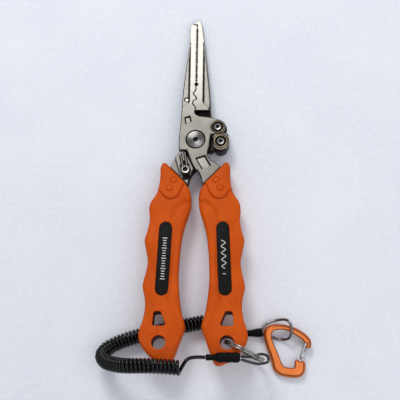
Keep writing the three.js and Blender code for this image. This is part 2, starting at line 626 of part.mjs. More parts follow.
const object = new THREE.Group();
object.add(
  pliers,
  carabiner,
  mesh('split_ring', splitRing(), ...POLISHED),
  mesh('lanyard_coil', tube(COIL_PATH, COIL, 38, 10), ...BLACK_CORD),
  mesh('lanyard_tail', tube(TAIL_PATH, CORD, 10), ...BLACK_CORD),
  mesh('lanyard_lead', tube(LEAD_PATH, CORD, 16), ...BLACK_CORD),
  mesh('ring_sleeve', sleeve([8.5, -113.9, 28.5], [29.8, -113.9, 28.2], RING_SLEEVE), ...DARK),
  mesh('ring_loop', tube(RING_LOOP, LOOP, 34, 6), ...DARK),
  mesh('carabiner_sleeve', sleeve([35.2, -96.9, 2.7], [42.3, -96.1, 2.7], CLIP_SLEEVE), ...DARK),
  mesh('carabiner_loop', tube(CLIP_LOOP, LOOP, 40, 6), ...WIRE),
);

export default object;
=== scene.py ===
"""Fishing pliers on a pale surface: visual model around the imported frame. Metres, frame of the part."""

import copy
import json
import math

import bpy
import numpy as np
from mathutils import Matrix, Vector


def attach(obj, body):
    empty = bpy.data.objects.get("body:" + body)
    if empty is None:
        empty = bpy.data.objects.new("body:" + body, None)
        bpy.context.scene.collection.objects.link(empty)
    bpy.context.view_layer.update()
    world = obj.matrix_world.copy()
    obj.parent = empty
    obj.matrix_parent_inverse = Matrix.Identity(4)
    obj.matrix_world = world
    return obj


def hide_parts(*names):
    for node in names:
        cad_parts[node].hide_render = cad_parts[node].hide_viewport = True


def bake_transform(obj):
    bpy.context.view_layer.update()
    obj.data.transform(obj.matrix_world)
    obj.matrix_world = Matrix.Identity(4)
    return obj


MM = 0.001

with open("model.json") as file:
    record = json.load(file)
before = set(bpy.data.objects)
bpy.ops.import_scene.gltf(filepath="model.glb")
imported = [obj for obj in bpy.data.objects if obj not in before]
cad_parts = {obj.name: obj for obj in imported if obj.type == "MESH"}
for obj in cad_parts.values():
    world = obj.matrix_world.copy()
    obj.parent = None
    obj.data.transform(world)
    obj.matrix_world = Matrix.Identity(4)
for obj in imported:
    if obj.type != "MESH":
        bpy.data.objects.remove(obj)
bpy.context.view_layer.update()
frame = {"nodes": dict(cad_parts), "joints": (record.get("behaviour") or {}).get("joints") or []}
nodes = frame["nodes"]
joints = {joint["name"]: joint for joint in frame["joints"]}

# ---- places ----
# The pliers lean nose down: their own frame is across (a), along towards the tips (b), out (w).
PIVOT = np.array(joints["pliers_pivot"]["pos_m"]) / MM
NORMAL = -np.array(joints["pliers_pivot"]["axis"], float)
NORMAL /= np.linalg.norm(NORMAL)
ACROSS = np.array([1.0, 0.0, 0.0])
ALONG = np.cross(NORMAL, ACROSS)
PLIERS = np.array([ACROSS, ALONG, NORMAL])  # rows: unit vectors of the pliers' own frame


def from_pliers(points):
    """Points in the pliers' own frame, mm, to the part's frame, mm."""
    return np.asarray(points, float) @ PLIERS + PIVOT


# ---- dimensions, mm, in the pliers' own frame ----
REACH = 9  # a cutting tool this far out passes every face of the pliers
# The right grip; the left one is the same shape turned over.
GRIP_HALF = 6.2
GRIP_POINTS = [
    (21.0, -16.2), (22.9, -19.5), (22.9, -25), (23.6, -32), (25.6, -38.2), (28.7, -43), (29.8, -47.6),
    (29.3, -55), (30.5, -62.6), (32.1, -69), (30.9, -75.8), (29.8, -83), (30.7, -90.2), (32.5, -98.8),
    (31.2, -105.8), (30.7, -112.4), (31.8, -120.6), (33.8, -127), (34.2, -131.8), (32.3, -137),
    (28.8, -141.6), (25.2, -145), (20.6, -147.2), (16.4, -148.8), (13.6, -147.9), (11.8, -144.2),
    (9.9, -139.1), (7.3, -131.6), (5.3, -126.2), (5.7, -121.9), (7.5, -116.2), (9, -106.2),
    (9.9, -94.5), (9.5, -81.3), (8.3, -68), (6.1, -57.9), (3.3, -49.2), (2.5, -42.6), (3.1, -36.4),
    (5.9, -30.9), (10.4, -26), (16, -20.1), (18.6, -17.2),
]
INLAY_ENDS = np.array([(18.3, -61.6), (20.0, -101.4)])
INLAY_RADIUS = 4.1
SLOT_HOLE = [(21.3, -117.1), (23.5, -117.1), (24.0, -123.5), (18.7, -123.5)]  # grown by its corner radius
SLOT_CORNER = 1.3
TANG_POINTS = [(8.3, -24), (15.6, -19.1), (19.3, -24), (22.3, -45), (23.9, -104.3), (15.3, -104.3),
               (13.1, -60), (8.5, -38)]
TANG_HALF = 2.9
PIN_PLACES = [(13.7, -29.0), (16.6, -34.6)]
EMBOSS = [(7.6, -31.6), (9.3, -36), (11.2, -39.4), (13.8, -41.4), (16.8, -41.6), (19.8, -39.9),
          (21.8, -37.2)]
UPPER_CREASE = [(6.2, -42.6), (9.2, -44.4), (11.9, -47), (13.7, -50), (14.7, -53.4), (15.6, -57.5)]
LOWER_CREASE = [(17.2, -107.6), (15.8, -112.4), (13.6, -117.8), (11.6, -122.8), (9.4, -128.4),
                (7.6, -131)]
FINGER_VALLEYS = [(29.2, -54.5), (29.7, -82.5), (30.6, -112)]
CHEVRONS = [
    [(27.6, -109), (25.6, -112.4), (22.6, -110.4)],
    [(22, -128.4), (24.8, -131.2), (27.8, -129.8)],
    [(27.4, -56.6), (25.2, -60.4), (24.4, -64.4)],
]
ROUND_HOLE = (21.3, -135.2, 4.3)
SLOT_CENTRE = (21.8, -120.4, 6.6)  # a circle round the slot hole
GRIP_ROUNDING = 2.4
INLAY_DEPTH = 1.15
INLAY_CLEARANCE = 0.25
CROWN_DROP = 0.9  # the face is this much lower at its rim than in its middle
CROWN_WIDTH = 9
VALLEY_DEPTH = 1.1
RIB_HEIGHT = 0.28
TAB_RISE = 0.55
WAIST_DEPTH = 1.05
# The front lever, with its jaw on the left; the rear one is the same kind of shape turned over.
HEAD_HALF = 4.5
PLATE_GAP = 0.2
TANG_STEEL = 2.6
COUNTERBORE = (6.5, 2.1)  # radius, floor
UPPER_CUTTER = (14.6, 8.8)
LOWER_CUTTER = (16.7, -1.4)
CUT_POINT = (16, 4.1)
CUT_ANGLE = math.radians(7)
LOCK_SCREW = (-6.5, -21.2)
LOCK_LEAN = math.radians(9.5)
RIDGE = 4.4
TEETH_START = 43
TOOTH_PITCH = 1.4
TOOTH_DEPTH = 0.9
TOOTH_LAND = 0.04
TOOTH_HALF = 0.45
LEFT_TIP = 85.6
RIGHT_TIP = 88.9
JAW_FLANK = [(9.6, 20.9), (9.7, 26), (9.1, 34.8), (8.1, 45.2), (6.8, 57.6), (5.8, 66.4), (4.9, 74)]
WAVE = [(-0.5, 20.9), (-0.6, 23.3), (-2.2, 25.5), (-1.9, 27.6), (0.3, 29.3), (-0.4, 31), (-1.9, 33.2),
        (-0.4, 35.7), (-0.2, 38.6)]
PLATE_LEFT = [(5.4, -33), (3.9, -27.2), (2.6, -23.7), (1.3, -21.8), (0.2, -21.3), (-1.4, -18.8),
              (-3.5, -13.9), (-5, -9.7), (-5.8, -7.6), (-11, -7.6), (-11.3, -3.9), (-11.1, 2.5),
              (-10.4, 10.3), (-10, 15.4), (-9.7, 23.2)]
PLATE_TOP = [(-1.1, 23.2), (-0.95, 20.3), (-0.1, 18.3), (2, 17), (6.1, 16.4), (10.2, 15.6)]
PLATE_RIGHT = [(10.2, 3.6), (9.6, -0.6), (9.3, -4.9), (8.3, -7.7), (8.1, -10.5), (8.7, -12.6),
               (10.4, -14.7), (12.4, -15.8), (15.7, -17.9), (17.5, -20), (20, -26), (12, -34)]
UPPER_BOSS = [(14.1, 14.7), (17, 13.9), (19.3, 12.1), (20.7, 9.4), (21, 6.6), (20.6, 3.2), (10.2, 2.4)]
LOWER_BOSS = [(-11.9, 6), (-11.7, -2.2), (-12, -5), (-13.7, -8.1), (-16.7, -9), (-20.2, -7.5),
              (-22.1, -3.2), (-22.2, 0.6), (-21.4, 6)]
LOWER_ARM = [(-13, 2.4), (-8, 3), (-8, -6), (-12, -6.6), (-14, -6)]
RIGHT_UNDERSIDE = [(3.6, -24.8), (7, -17.4), (15.4, -17.4), (17.5, -20), (20, -26), (12, -34), (5.4, -33)]
LEFT_UNDERSIDE = [(3.4, -25), (1.2, -20.6), (3.4, -15.8), (5.6, -11.8), (8.6, -11.4), (11.4, -9.3),
                  (12.6, -10.4), (13.9, -14), (14.7, -14.4), (16.3, -18.6), (17.5, -20), (20, -26),
                  (12, -34), (5.4, -33)]
LOWER_WINDOW = [(0.1, -13.2), (6.4, -11.2), (10.3, -18.6), (4.4, -21)]
UPPER_WINDOW = [(-7.7, 15.7), (-4, 17.1), (-2.8, 12.8), (-6.6, 11)]
JAW_TAPER = 26  # from here the jaws thin towards the tip
TIP_HALF = 1.7
JAW_HOLE = (-6.5, 29)
NOTCH = (0, 40.1)
NOTCH_RADIUS = 1.15
PIVOT_BORE = 4.6
POCKET_FLOOR = 1
UPPER_POCKET = 4.6
LOWER_POCKET = 5.0
CUT_GAP = 0.22
SINK_RADIUS = 3.75  # countersink of the cutting inserts
PLATE_CHAMFER = 0.6
CHANNEL_DEPTH = 2.2
LOCK_SEAMS = [
    ((-13.6, -12.6), (-9.6, -25.8)),
    ((-15.6, -14.6), (-13.4, -13)),
    ((-1.9, -24.6), (-4.9, -17.2)),
]
DIAGONAL = math.sqrt(0.5)


# ---- camera ----
LOOK_AT = Vector((3.2, -10.7, 11.0)) * MM
TOWARDS_CAMERA = Vector((0.06, -0.235, 0.97)).normalized()
CAMERA_DISTANCE = 0.62
SEEN_WIDTH = 0.262
CAMERA_ROLL = math.radians(0.5)

camera = bpy.data.objects.new("camera", bpy.data.cameras.new("camera"))
bpy.context.scene.collection.objects.link(camera)
camera.data.sensor_width = 36
camera.data.lens = camera.data.sensor_width * CAMERA_DISTANCE / SEEN_WIDTH
camera.data.clip_start = 0.01
upright = Vector((0, 1, 0)) - TOWARDS_CAMERA * TOWARDS_CAMERA.y
upright.normalize()
sideways = upright.cross(TOWARDS_CAMERA)
turn = Matrix((sideways, upright, TOWARDS_CAMERA)).transposed().to_4x4()
turn = turn @ Matrix.Rotation(CAMERA_ROLL, 4, "Z")
camera.matrix_world = Matrix.Translation(LOOK_AT + TOWARDS_CAMERA * CAMERA_DISTANCE) @ turn
bpy.context.scene.camera = camera
bpy.context.scene.view_settings.view_transform = "Standard"


# ---- materials ----
def add(tree, kind, **values):
    made = tree.nodes.new(kind)
    for key, value in values.items():
        name = key.replace("_", " ")
        if name in made.inputs:
            made.inputs[name].default_value = value
        else:
            setattr(made, key, value)
    return made


def noise(tree, place, size_mm, detail=3.0, stretch=None):
    """Noise with features of about that size, in the piece's own space."""
    source = place.outputs["Object"]
    if stretch:
        mapping = add(tree, "ShaderNodeMapping")
        mapping.inputs["Scale"].default_value = stretch
        tree.links.new(source, mapping.inputs["Vector"])
        source = mapping.outputs["Vector"]
    made = add(tree, "ShaderNodeTexNoise", Scale=1 / (size_mm * MM), Detail=detail, Roughness=0.55)
    tree.links.new(source, made.inputs["Vector"])
    return made.outputs["Fac"]


def spread(tree, value, low, high, out_low, out_high):
    made = add(tree, "ShaderNodeMapRange")
    limits = {"From Min": low, "From Max": high, "To Min": out_low, "To Max": out_high}
    for key, number in limits.items():
        made.inputs[key].default_value = number
    tree.links.new(value, made.inputs["Value"])
    return made.outputs["Result"]


def mix(tree, factor, first, second):
    made = add(tree, "ShaderNodeMix", data_type="RGBA")
    sockets = [s for s in made.inputs if s.type == "RGBA"]
    for socket, value in zip(sockets, (first, second)):
        if isinstance(value, tuple):
            socket.default_value = (*value, 1)
        else:
            tree.links.new(value, socket)
    tree.links.new(factor, made.inputs[0])
    return next(s for s in made.outputs if s.type == "RGBA")


def surface(name, dark, light, rough, metallic=0.0, patch=9.0, grain=0.35, bump=0.15, depth=0.03,
            stretch=None, coat=0.0, specular=0.5, edges=None, anisotropic=0.0):
    """A material with two-scale colour variation, varied roughness and a fine relief."""
    material = bpy.data.materials.new(name)
    material.use_nodes = True
    tree = material.node_tree
    shader = tree.nodes["Principled BSDF"]
    place = add(tree, "ShaderNodeTexCoord")
    broad = noise(tree, place, patch, 2.0, stretch)
    fine = noise(tree, place, grain, 4.0, stretch)
    colour = mix(tree, spread(tree, broad, 0.3, 0.7, 0, 1), dark, light)
    speck = tuple(min(1.0, 1.12 * c) for c in light)
    colour = mix(tree, spread(tree, fine, 0.45, 0.8, 0, 0.5), colour, speck)
    # Edge colours: the first is painted shade in concave hollows, the second a paler tint on convex edges.
    if edges:
        geometry = add(tree, "ShaderNodeNewGeometry")
        point = geometry.outputs["Pointiness"]
        colour = mix(tree, spread(tree, point, 0.5, 0.42, 0, 0.8), colour, edges[0])
        colour = mix(tree, spread(tree, point, 0.53, 0.66, 0, 0.4), colour, edges[1])
    tree.links.new(colour, shader.inputs["Base Color"])
    tree.links.new(spread(tree, fine, 0.3, 0.7, *rough), shader.inputs["Roughness"])
    relief = add(tree, "ShaderNodeBump", Strength=bump, Distance=depth * MM)
    tree.links.new(fine, relief.inputs["Height"])
    tree.links.new(relief.outputs["Normal"], shader.inputs["Normal"])
    shader.inputs["Metallic"].default_value = metallic
    shader.inputs["Coat Weight"].default_value = coat
    shader.inputs["Coat Roughness"].default_value = 0.12
    shader.inputs["Specular IOR Level"].default_value = specular
    shader.inputs["Anisotropic"].default_value = anisotropic
    return material


def dot(tree, vector, direction, scale=1.0, offset=(0, 0, 0)):
    """Position or normal along one direction."""
    moved = add(tree, "ShaderNodeVectorMath", operation="SUBTRACT")
    tree.links.new(vector, moved.inputs[0])
    moved.inputs[1].default_value = offset
    product = add(tree, "ShaderNodeVectorMath", operation="DOT_PRODUCT")
    tree.links.new(moved.outputs[0], product.inputs[0])
    product.inputs[1].default_value = tuple(float(c) * scale for c in direction)
    return product.outputs["Value"]


def calc(tree, operation, first, second=0.0):
    made = add(tree, "ShaderNodeMath", operation=operation)
    for socket, value in zip(made.inputs, (first, second)):
        if isinstance(value, (int, float)):
            socket.default_value = value
        else:
            tree.links.new(value, socket)
    return made.outputs[0]


def position(tree, place, axis, centre=PIVOT):
    """How far a point lies from the centre along an axis, mm."""
    return dot(tree, place.outputs["Object"], axis, 1 / MM, tuple(float(c) * MM for c in centre))


def facing(tree, place, normal):
    """How squarely the surface faces the normal: 1 on a flat face, 0 on an upright wall."""
    return calc(tree, "ABSOLUTE", dot(tree, place.outputs["Normal"], normal))


def radius_of(tree, across, along):
    squares = [calc(tree, "MULTIPLY", side, side) for side in (across, along)]
    return calc(tree, "SQRT", calc(tree, "ADD", *squares))


def opened(material):
    """The material's tree, a coordinate node, and the socket that colours it so far."""
    tree = material.node_tree
    colour = tree.nodes["Principled BSDF"].inputs["Base Color"].links[0].from_socket
    return tree, add(tree, "ShaderNodeTexCoord"), colour


def recoloured(material, colour):
    tree = material.node_tree
    tree.links.new(colour, tree.nodes["Principled BSDF"].inputs["Base Color"])
    return material


def grip_rubber():
    """Orange rubber with painted shade: darker red in its creases and nearly black on the walls of the two
    holes.
    """
    # Painted shade in concave creases comes from the first edge colour; the second makes convex edges
    # paler.
    material = surface("orange_rubber", (0.53, 0.068, 0.002), (0.64, 0.092, 0.003), (0.46, 0.6), patch=16,
                       grain=0.45, bump=0.22, depth=0.05, specular=0.12,
                       edges=((0.2, 0.012, 0.001), (0.78, 0.14, 0.01)))
    tree, place, colour = opened(material)
    # Painted shade, nearly black, on the walls of the round hole and the slot hole.
    wall = spread(tree, facing(tree, place, NORMAL), 0.75, 0.35, 0, 0.9)
    across = calc(tree, "ABSOLUTE", position(tree, place, ACROSS))
    along = position(tree, place, ALONG)
    for x, y, size in (ROUND_HOLE, SLOT_CENTRE):
        reach = radius_of(tree, calc(tree, "SUBTRACT", across, x), calc(tree, "SUBTRACT", along, y))
        hole = calc(tree, "MULTIPLY", wall, spread(tree, reach, size + 1.4, size + 0.8, 0, 1))
        colour = mix(tree, hole, colour, (0.05, 0.006, 0.001))
    return recoloured(material, colour)


# Painted shade for the jaw groove, the deep hollows and the upright walls.
PAINTED_SHADE = (0.03, 0.027, 0.024)
FLANK_GREY = (0.25, 0.237, 0.212)
JAW_PALE = (0.44, 0.423, 0.378)


def head_steel():
    """Blasted faces, machined walls and hollows darkened by painted shade, greyer jaw flanks and a paler
    jaw middle.
    """
    material = surface("blasted_steel", (0.2, 0.189, 0.167), (0.265, 0.25, 0.222), (0.4, 0.54), 1.0,
                       patch=7, grain=0.32, bump=0.3, depth=0.04)
    tree, place, colour = opened(material)
    along = position(tree, place, ALONG)
    top = spread(tree, along, JAW_TAPER, RIGHT_TIP, HEAD_HALF, TIP_HALF)
    depth = calc(tree, "SUBTRACT", top, calc(tree, "ABSOLUTE", position(tree, place, NORMAL)))
    in_jaw = spread(tree, along, 21.6, 22.6, 0, 1)
    paler = spread(tree, along, 16, 48, 0, 1)
    raised = calc(tree, "MULTIPLY", paler, spread(tree, depth, 0.35, 0.2, 0, 0.95))
    colour = mix(tree, raised, colour, JAW_PALE)
    flank = calc(tree, "MULTIPLY", in_jaw, spread(tree, depth, 0.3, 0.45, 0, 0.9))
    colour = mix(tree, flank, colour, FLANK_GREY)
    # Painted shade in the groove beside the jaw's raised middle.
    groove = calc(tree, "MULTIPLY", in_jaw, spread(tree, depth, 0.85, 1.1, 0, 1))
    colour = mix(tree, groove, colour, PAINTED_SHADE)
    # Painted shade in hollows more than about 2 mm below the face.
    colour = mix(tree, spread(tree, depth, 1.9, 2.3, 0, 1), colour, PAINTED_SHADE)
    # Painted shade on upright walls.
    wall = spread(tree, facing(tree, place, NORMAL), 0.93, 0.62, 0, 0.94)
    colour = mix(tree, wall, colour, PAINTED_SHADE)
    return recoloured(material, colour)


def insert_material(side, middle):
    """Tinted rim, and painted shade that turns the countersink round the insert's own centre black."""
    material = surface(f"{side}_insert", (0.16, 0.12, 0.065), (0.25, 0.195, 0.11), (0.25, 0.4), 1.0,
                       patch=2.5)
    tree, place, colour = opened(material)
    centre = from_pliers((*middle, 0))
    reach = radius_of(tree, *(position(tree, place, axis, centre) for axis in (ACROSS, ALONG)))
    # Painted shade: the countersink is coloured nearly black.
    sink = spread(tree, reach, SINK_RADIUS, SINK_RADIUS - 0.15, 0, 1)
    colour = mix(tree, sink, colour, (0.012, 0.011, 0.01))
    return recoloured(material, colour)


def turned_steel():
    """Steel finished by turning: its highlights run round the axis."""
    material = surface("turned_steel", (0.14, 0.136, 0.129), (0.18, 0.175, 0.167), (0.26, 0.36), 1.0,
                       grain=0.6, bump=0.04, anisotropic=0.92)
    tree = material.node_tree
    shader = tree.nodes["Principled BSDF"]
    shader.inputs["Anisotropic Rotation"].default_value = 0.25
    tangent = add(tree, "ShaderNodeTangent", direction_type="RADIAL", axis="Z")
    tree.links.new(tangent.outputs[0], shader.inputs["Tangent"])
    return material


RUBBER = grip_rubber()
STEEL = head_steel()
PALE_STEEL = surface("pale_steel", (0.42, 0.41, 0.375), (0.54, 0.525, 0.48), (0.3, 0.42), 1.0, patch=2)
POLISHED = surface("polished_steel", (0.26, 0.256, 0.247), (0.38, 0.375, 0.362), (0.14, 0.26), 1.0,
                   grain=0.6, bump=0.05)
TURNED = turned_steel()
BRONZE = surface("bronze", (0.42, 0.28, 0.12), (0.58, 0.42, 0.2), (0.25, 0.4), 1.0)
WIRE = surface("wire_steel", (0.4, 0.4, 0.39), (0.6, 0.6, 0.58), (0.18, 0.32), 1.0, patch=3)
PIN_RUBBER = surface("orange_pins", (0.54, 0.07, 0.002), (0.62, 0.088, 0.003), (0.46, 0.6), patch=6,
                     grain=0.45, bump=0.2, depth=0.05, specular=0.12)
INLAY = surface("black_inlay", (0.005, 0.0047, 0.0045), (0.01, 0.0095, 0.009), (0.5, 0.7), patch=5,
                grain=0.25, bump=0.25, depth=0.04, specular=0.1)
MARKS = surface("pale_marks", (0.55, 0.55, 0.52), (0.74, 0.74, 0.7), (0.4, 0.55), patch=2, grain=0.2)
CORD = surface("black_cord", (0.0008, 0.0008, 0.0008), (0.002, 0.002, 0.0024), (0.06, 0.1), patch=14,
               grain=0.6, bump=0.05, specular=0.3)
SLEEVE = surface("black_sleeve", (0.0025, 0.0025, 0.0025), (0.006, 0.006, 0.006), (0.5, 0.7), patch=4,
                 grain=0.5, bump=0.5, depth=0.12, stretch=(1, 0.3, 1), specular=0.08)
COATED = surface("coated_wire", (0.07, 0.07, 0.068), (0.36, 0.36, 0.345), (0.2, 0.34), 1.0, patch=1.0)
DARK_WIRE = surface("dark_wire", (0.004, 0.004, 0.004), (0.03, 0.03, 0.029), (0.16, 0.3), 0.6, patch=1.0,
                    coat=0.6)
# Painted shade for the inside of hex sockets.
SOCKET_SHADE = surface("socket_painted_shade", (0.01, 0.01, 0.01), (0.02, 0.02, 0.019), (0.4, 0.6), 0.6, patch=1)


# ---- meshes ----
def piece(name, points, faces, material, body, replaces=(), slot=None, smooth=True):
    """A mesh piece from points in the part's frame, mm."""
    mesh = bpy.data.meshes.new(name)
    mesh.from_pydata((np.asarray(points, float) * MM).tolist(), [], [list(map(int, f)) for f in faces])
    mesh.validate()
    made = bpy.data.objects.new(name, mesh)
    bpy.context.scene.collection.objects.link(made)
    mesh.materials.append(material)
    if smooth:
        mesh.shade_smooth()
    else:
        mesh.shade_flat()
    if body:
        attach(made, body)
    if replaces:
        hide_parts(*replaces)
    return made


def dress(name, material, width=0.2):
    """A material, bevelled edges and even shading on a CAD node that stays."""
    target = nodes[name]
    target.data.materials.clear()
    target.data.materials.append(material)
    weld = target.modifiers.new("weld", "WELD")
    weld.merge_threshold = 0.002 * MM
    bevel = target.modifiers.new("bevel", "BEVEL")
    bevel.width = width * MM
    bevel.segments = 2
    bevel.limit_method = "ANGLE"
    bevel.angle_limit = math.radians(35)
    split = target.modifiers.new("split", "EDGE_SPLIT")
    split.split_angle = math.radians(33)
    target.data.shade_smooth()


def spline(points, spacing):
    """Catmull-Rom line through the points, sampled at an even spacing, mm."""
    given = np.asarray(points, float)
    ends = np.vstack([2 * given[0] - given[1], given, 2 * given[-1] - given[-2]])
    line = []
    for p0, p1, p2, p3 in zip(ends, ends[1:], ends[2:], ends[3:]):
        for t in np.linspace(0, 1, 24, endpoint=False):
            line.append(0.5 * (2 * p1 + (p2 - p0) * t + (2 * p0 - 5 * p1 + 4 * p2 - p3) * t * t
                               + (3 * p1 - p0 - 3 * p2 + p3) * t ** 3))
    line.append(given[-1])
    return resample(np.array(line), spacing)


def run_along(line):
    """Length of the line from its start to each of its points."""
    return np.concatenate([[0], np.cumsum(np.linalg.norm(np.diff(line, axis=0), axis=1))])


def resample(line, spacing):
    run = run_along(line)
    count = max(2, int(round(run[-1] / spacing)) + 1)
    at = np.linspace(0, run[-1], count)
    return np.stack([np.interp(at, run, line[:, i]) for i in range(3)], axis=1)


def frames_along(line):
    """Tangent and two cross directions at each point, carried along without twist."""
    tangents = np.gradient(line, axis=0)
    tangents /= np.linalg.norm(tangents, axis=1)[:, None]
    side = np.cross(tangents[0], [0.0, 0.0, 1.0])
    if np.linalg.norm(side) < 0.2:
        side = np.cross(tangents[0], [0.0, 1.0, 0.0])
    sides = []
    for tangent in tangents:
        side = side - tangent * (side @ tangent)
        side /= np.linalg.norm(side)
        sides.append(side)
    sides = np.array(sides)
    return tangents, sides, np.cross(tangents, sides)


def loft_faces(rows, sides):
    """Quads between neighbouring rows of points, each row a closed loop."""
    faces = []
    for i in range(rows - 1):
        for j in range(sides):
            a, b = i * sides + j, i * sides + (j + 1) % sides
            faces.append((a, b, b + sides, a + sides))
    return faces


def sweep(line, section, sides=12):
    """Tube round a line; section(angle, share of the way along) gives its radius."""
    _, first, second = frames_along(line)
    count = len(line)
    angles = np.linspace(0, 2 * np.pi, sides, endpoint=False)
    points = []
    for i, centre in enumerate(line):
        share = i / (count - 1)
        radius = np.array([section(angle, share) for angle in angles])
        sideways = (radius * np.cos(angles))[:, None] * first[i]
        points.append(centre + sideways + (radius * np.sin(angles))[:, None] * second[i])
    faces = loft_faces(count, sides)
    faces.append(tuple(range(sides))[::-1])
    faces.append(tuple((count - 1) * sides + j for j in range(sides)))
    return np.concatenate(points), faces


def field_mesh(field, origin, step):
    """Smooth mesh of the surface where a sampled distance field is zero (naive surface nets)."""
    size = np.array(field.shape)
    corners = [(i, j, k) for i in (0, 1) for j in (0, 1) for k in (0, 1)]
    cells = [field[i:size[0] - 1 + i, j:size[1] - 1 + j, k:size[2] - 1 + k] for i, j, k in corners]
    below = sum((c < 0).astype(np.int8) for c in cells)
    active = (below > 0) & (below < 8)
    where = np.argwhere(active)
    values = np.stack([c[active] for c in cells], axis=1)
    total = np.zeros((len(where), 3))
    hits = np.zeros(len(where))
    for m, first in enumerate(corners):
        for n, second in enumerate(corners):
            if n <= m or sum(abs(a - b) for a, b in zip(first, second)) != 1:
                continue
            va, vb = values[:, m], values[:, n]
            crossed = (va < 0) != (vb < 0)
            t = np.where(crossed, va / np.where(crossed, va - vb, 1), 0)
            place = np.array(first) + t[:, None] * (np.array(second) - np.array(first))
            total += place * crossed[:, None]
            hits += crossed
    points = (where + total / hits[:, None]) * step + origin
    index = np.full(active.shape, -1)
    index[active] = np.arange(len(where))
    faces = []
    for axis in range(3):
        lower = [slice(None)] * 3
        upper = [slice(None)] * 3
        lower[axis], upper[axis] = slice(0, -1), slice(1, None)
        start, end = field[tuple(lower)] < 0, field[tuple(upper)] < 0
        edges = np.argwhere(start != end)
        others = [a for a in range(3) if a != axis]
        keep = np.all([(edges[:, a] > 0) & (edges[:, a] < size[a] - 1) for a in others], axis=0)
        edges = edges[keep]
        quad = []
        for du, dv in ((-1, -1), (0, -1), (0, 0), (-1, 0)):
            shift = edges.copy()
            shift[:, others[0]] += du
            shift[:, others[1]] += dv
            quad.append(index[tuple(shift.T)])
        quad = np.stack(quad, axis=1)
        flip = start[tuple(edges.T)] ^ (axis == 1)
        quad[~flip] = quad[~flip][:, ::-1]
        faces.append(quad)
    return points, np.concatenate(faces)


# ---- grips ----
def polygon_distance(x, y, points, closed=True):
    """Distance from grid points to a polygon or line, and whether each is inside."""
    points = np.asarray(points, float)
    best = np.full(x.shape, 1e9)
    inside = np.zeros(x.shape, bool)
    ends = np.roll(points, -1, 0) if closed else points[1:]
    for (x0, y0), (x1, y1) in zip(points, ends):
        dx, dy = x1 - x0, y1 - y0
        t = np.clip(((x - x0) * dx + (y - y0) * dy) / (dx * dx + dy * dy), 0, 1)
        best = np.minimum(best, np.hypot(x - x0 - t * dx, y - y0 - t * dy))
        if closed and y0 != y1:
            inside ^= ((y0 > y) != (y1 > y)) & (x < x0 + (y - y0) * dx / dy)
    return best, inside


def signed(x, y, points):
    """Negative inside the polygon."""
    distance, inside = polygon_distance(x, y, points)
    return np.where(inside, -distance, distance)


def flat_spline(points, spacing, closed=False):
    """Smooth line through points in a plane; a closed one stops just short of its start."""
    given = [(x, y, 0.0) for x, y in points]
    if closed:
        given = given[-2:] + given + given[:3]
    line = spline(given, spacing)
    if closed:
        away = np.linalg.norm(line - np.array(given[2]), axis=1)
        half = len(line) // 2
        line = line[np.argmin(away[:len(line) // 3]):half + np.argmin(away[half:])]
    return line[:, :2]


def smoothstep(value, low, high):
    t = np.clip((value - low) / (high - low), 0, 1)
    return t * t * (3 - 2 * t)


def both_rounded(first, second, radius):
    """Where two solids meet, with a rounded edge."""
    u, v = first + radius, second + radius
    return np.hypot(np.maximum(u, 0), np.maximum(v, 0)) + np.minimum(np.maximum(u, v), 0) - radius


def without(body, tool, radius=0.15):
    return both_rounded(body, -tool, radius)


def chamfered(flat, level, size):
    """A flat piece from its outline and level distances, with a chamfer all round."""
    body = both_rounded(flat, level, 0.12)
    return both_rounded(body, (flat + level + size) * DIAGONAL, 0.12)


def bead(x, y, points, width):
    """1 on a smooth line through the points, fading to 0 on both sides of it."""
    line = flat_spline(points, 0.6)
    distance, _ = polygon_distance(x, y, line, closed=False)
    return np.exp(-(distance / width) ** 2)


class Grid:
    """Sample points over a box, mm, in the frame of the pliers or of the carabiner."""

    def __init__(self, low, high, step):
        self.origin = np.array(low, float)
        self.step = step
        axes = [np.arange(l, h + step, step, dtype=np.float32) for l, h in zip(low, high)]
        self.x, self.y = np.meshgrid(axes[0], axes[1], indexing="ij")
        self.w = axes[2][None, None, :]

    def turned(self):
        """The same places, read in the frame that is turned over."""
        other = copy.copy(self)
        other.x, other.w = -self.x, -self.w
        return other

    def outline(self, points):
        return signed(self.x, self.y, points).astype(np.float32)[:, :, None]

    def between(self, low, high):
        return np.abs(self.w - (low + high) / 2) - (high - low) / 2

    def prism(self, points, low, high, radius=0.25):
        return both_rounded(self.outline(points), self.between(low, high), radius)

    def plate(self, points, low, high, chamfer):
        return chamfered(self.outline(points), self.between(low, high), chamfer)

    def disc(self, place, size, low, high, radius=0.15):
        flat = (np.hypot(self.x - place[0], self.y - place[1]) - size)[:, :, None]
        return both_rounded(flat, self.between(low, high), radius)

    def half_plane(self, place, angle, side):
        across = (self.y - place[1]) * math.cos(angle) - (self.x - place[0]) * math.sin(angle)
        return side * across[:, :, None]

    def bar(self, half, bottom, top, low, high, radius=0.2):
        """Straight bar along the lock's own line."""
        dx = self.x - LOCK_SCREW[0]
        dy = self.y - LOCK_SCREW[1]
        u = dx * math.cos(LOCK_LEAN) + dy * math.sin(LOCK_LEAN)
        v = -dx * math.sin(LOCK_LEAN) + dy * math.cos(LOCK_LEAN) + LOCK_SCREW[1]
        flat = both_rounded(np.abs(u) - half, np.abs(v - (top + bottom) / 2) - (top - bottom) / 2, radius)
        return both_rounded(flat[:, :, None], self.between(low, high), radius)

    def mesh(self, field):
        return field_mesh(field, self.origin, self.step)


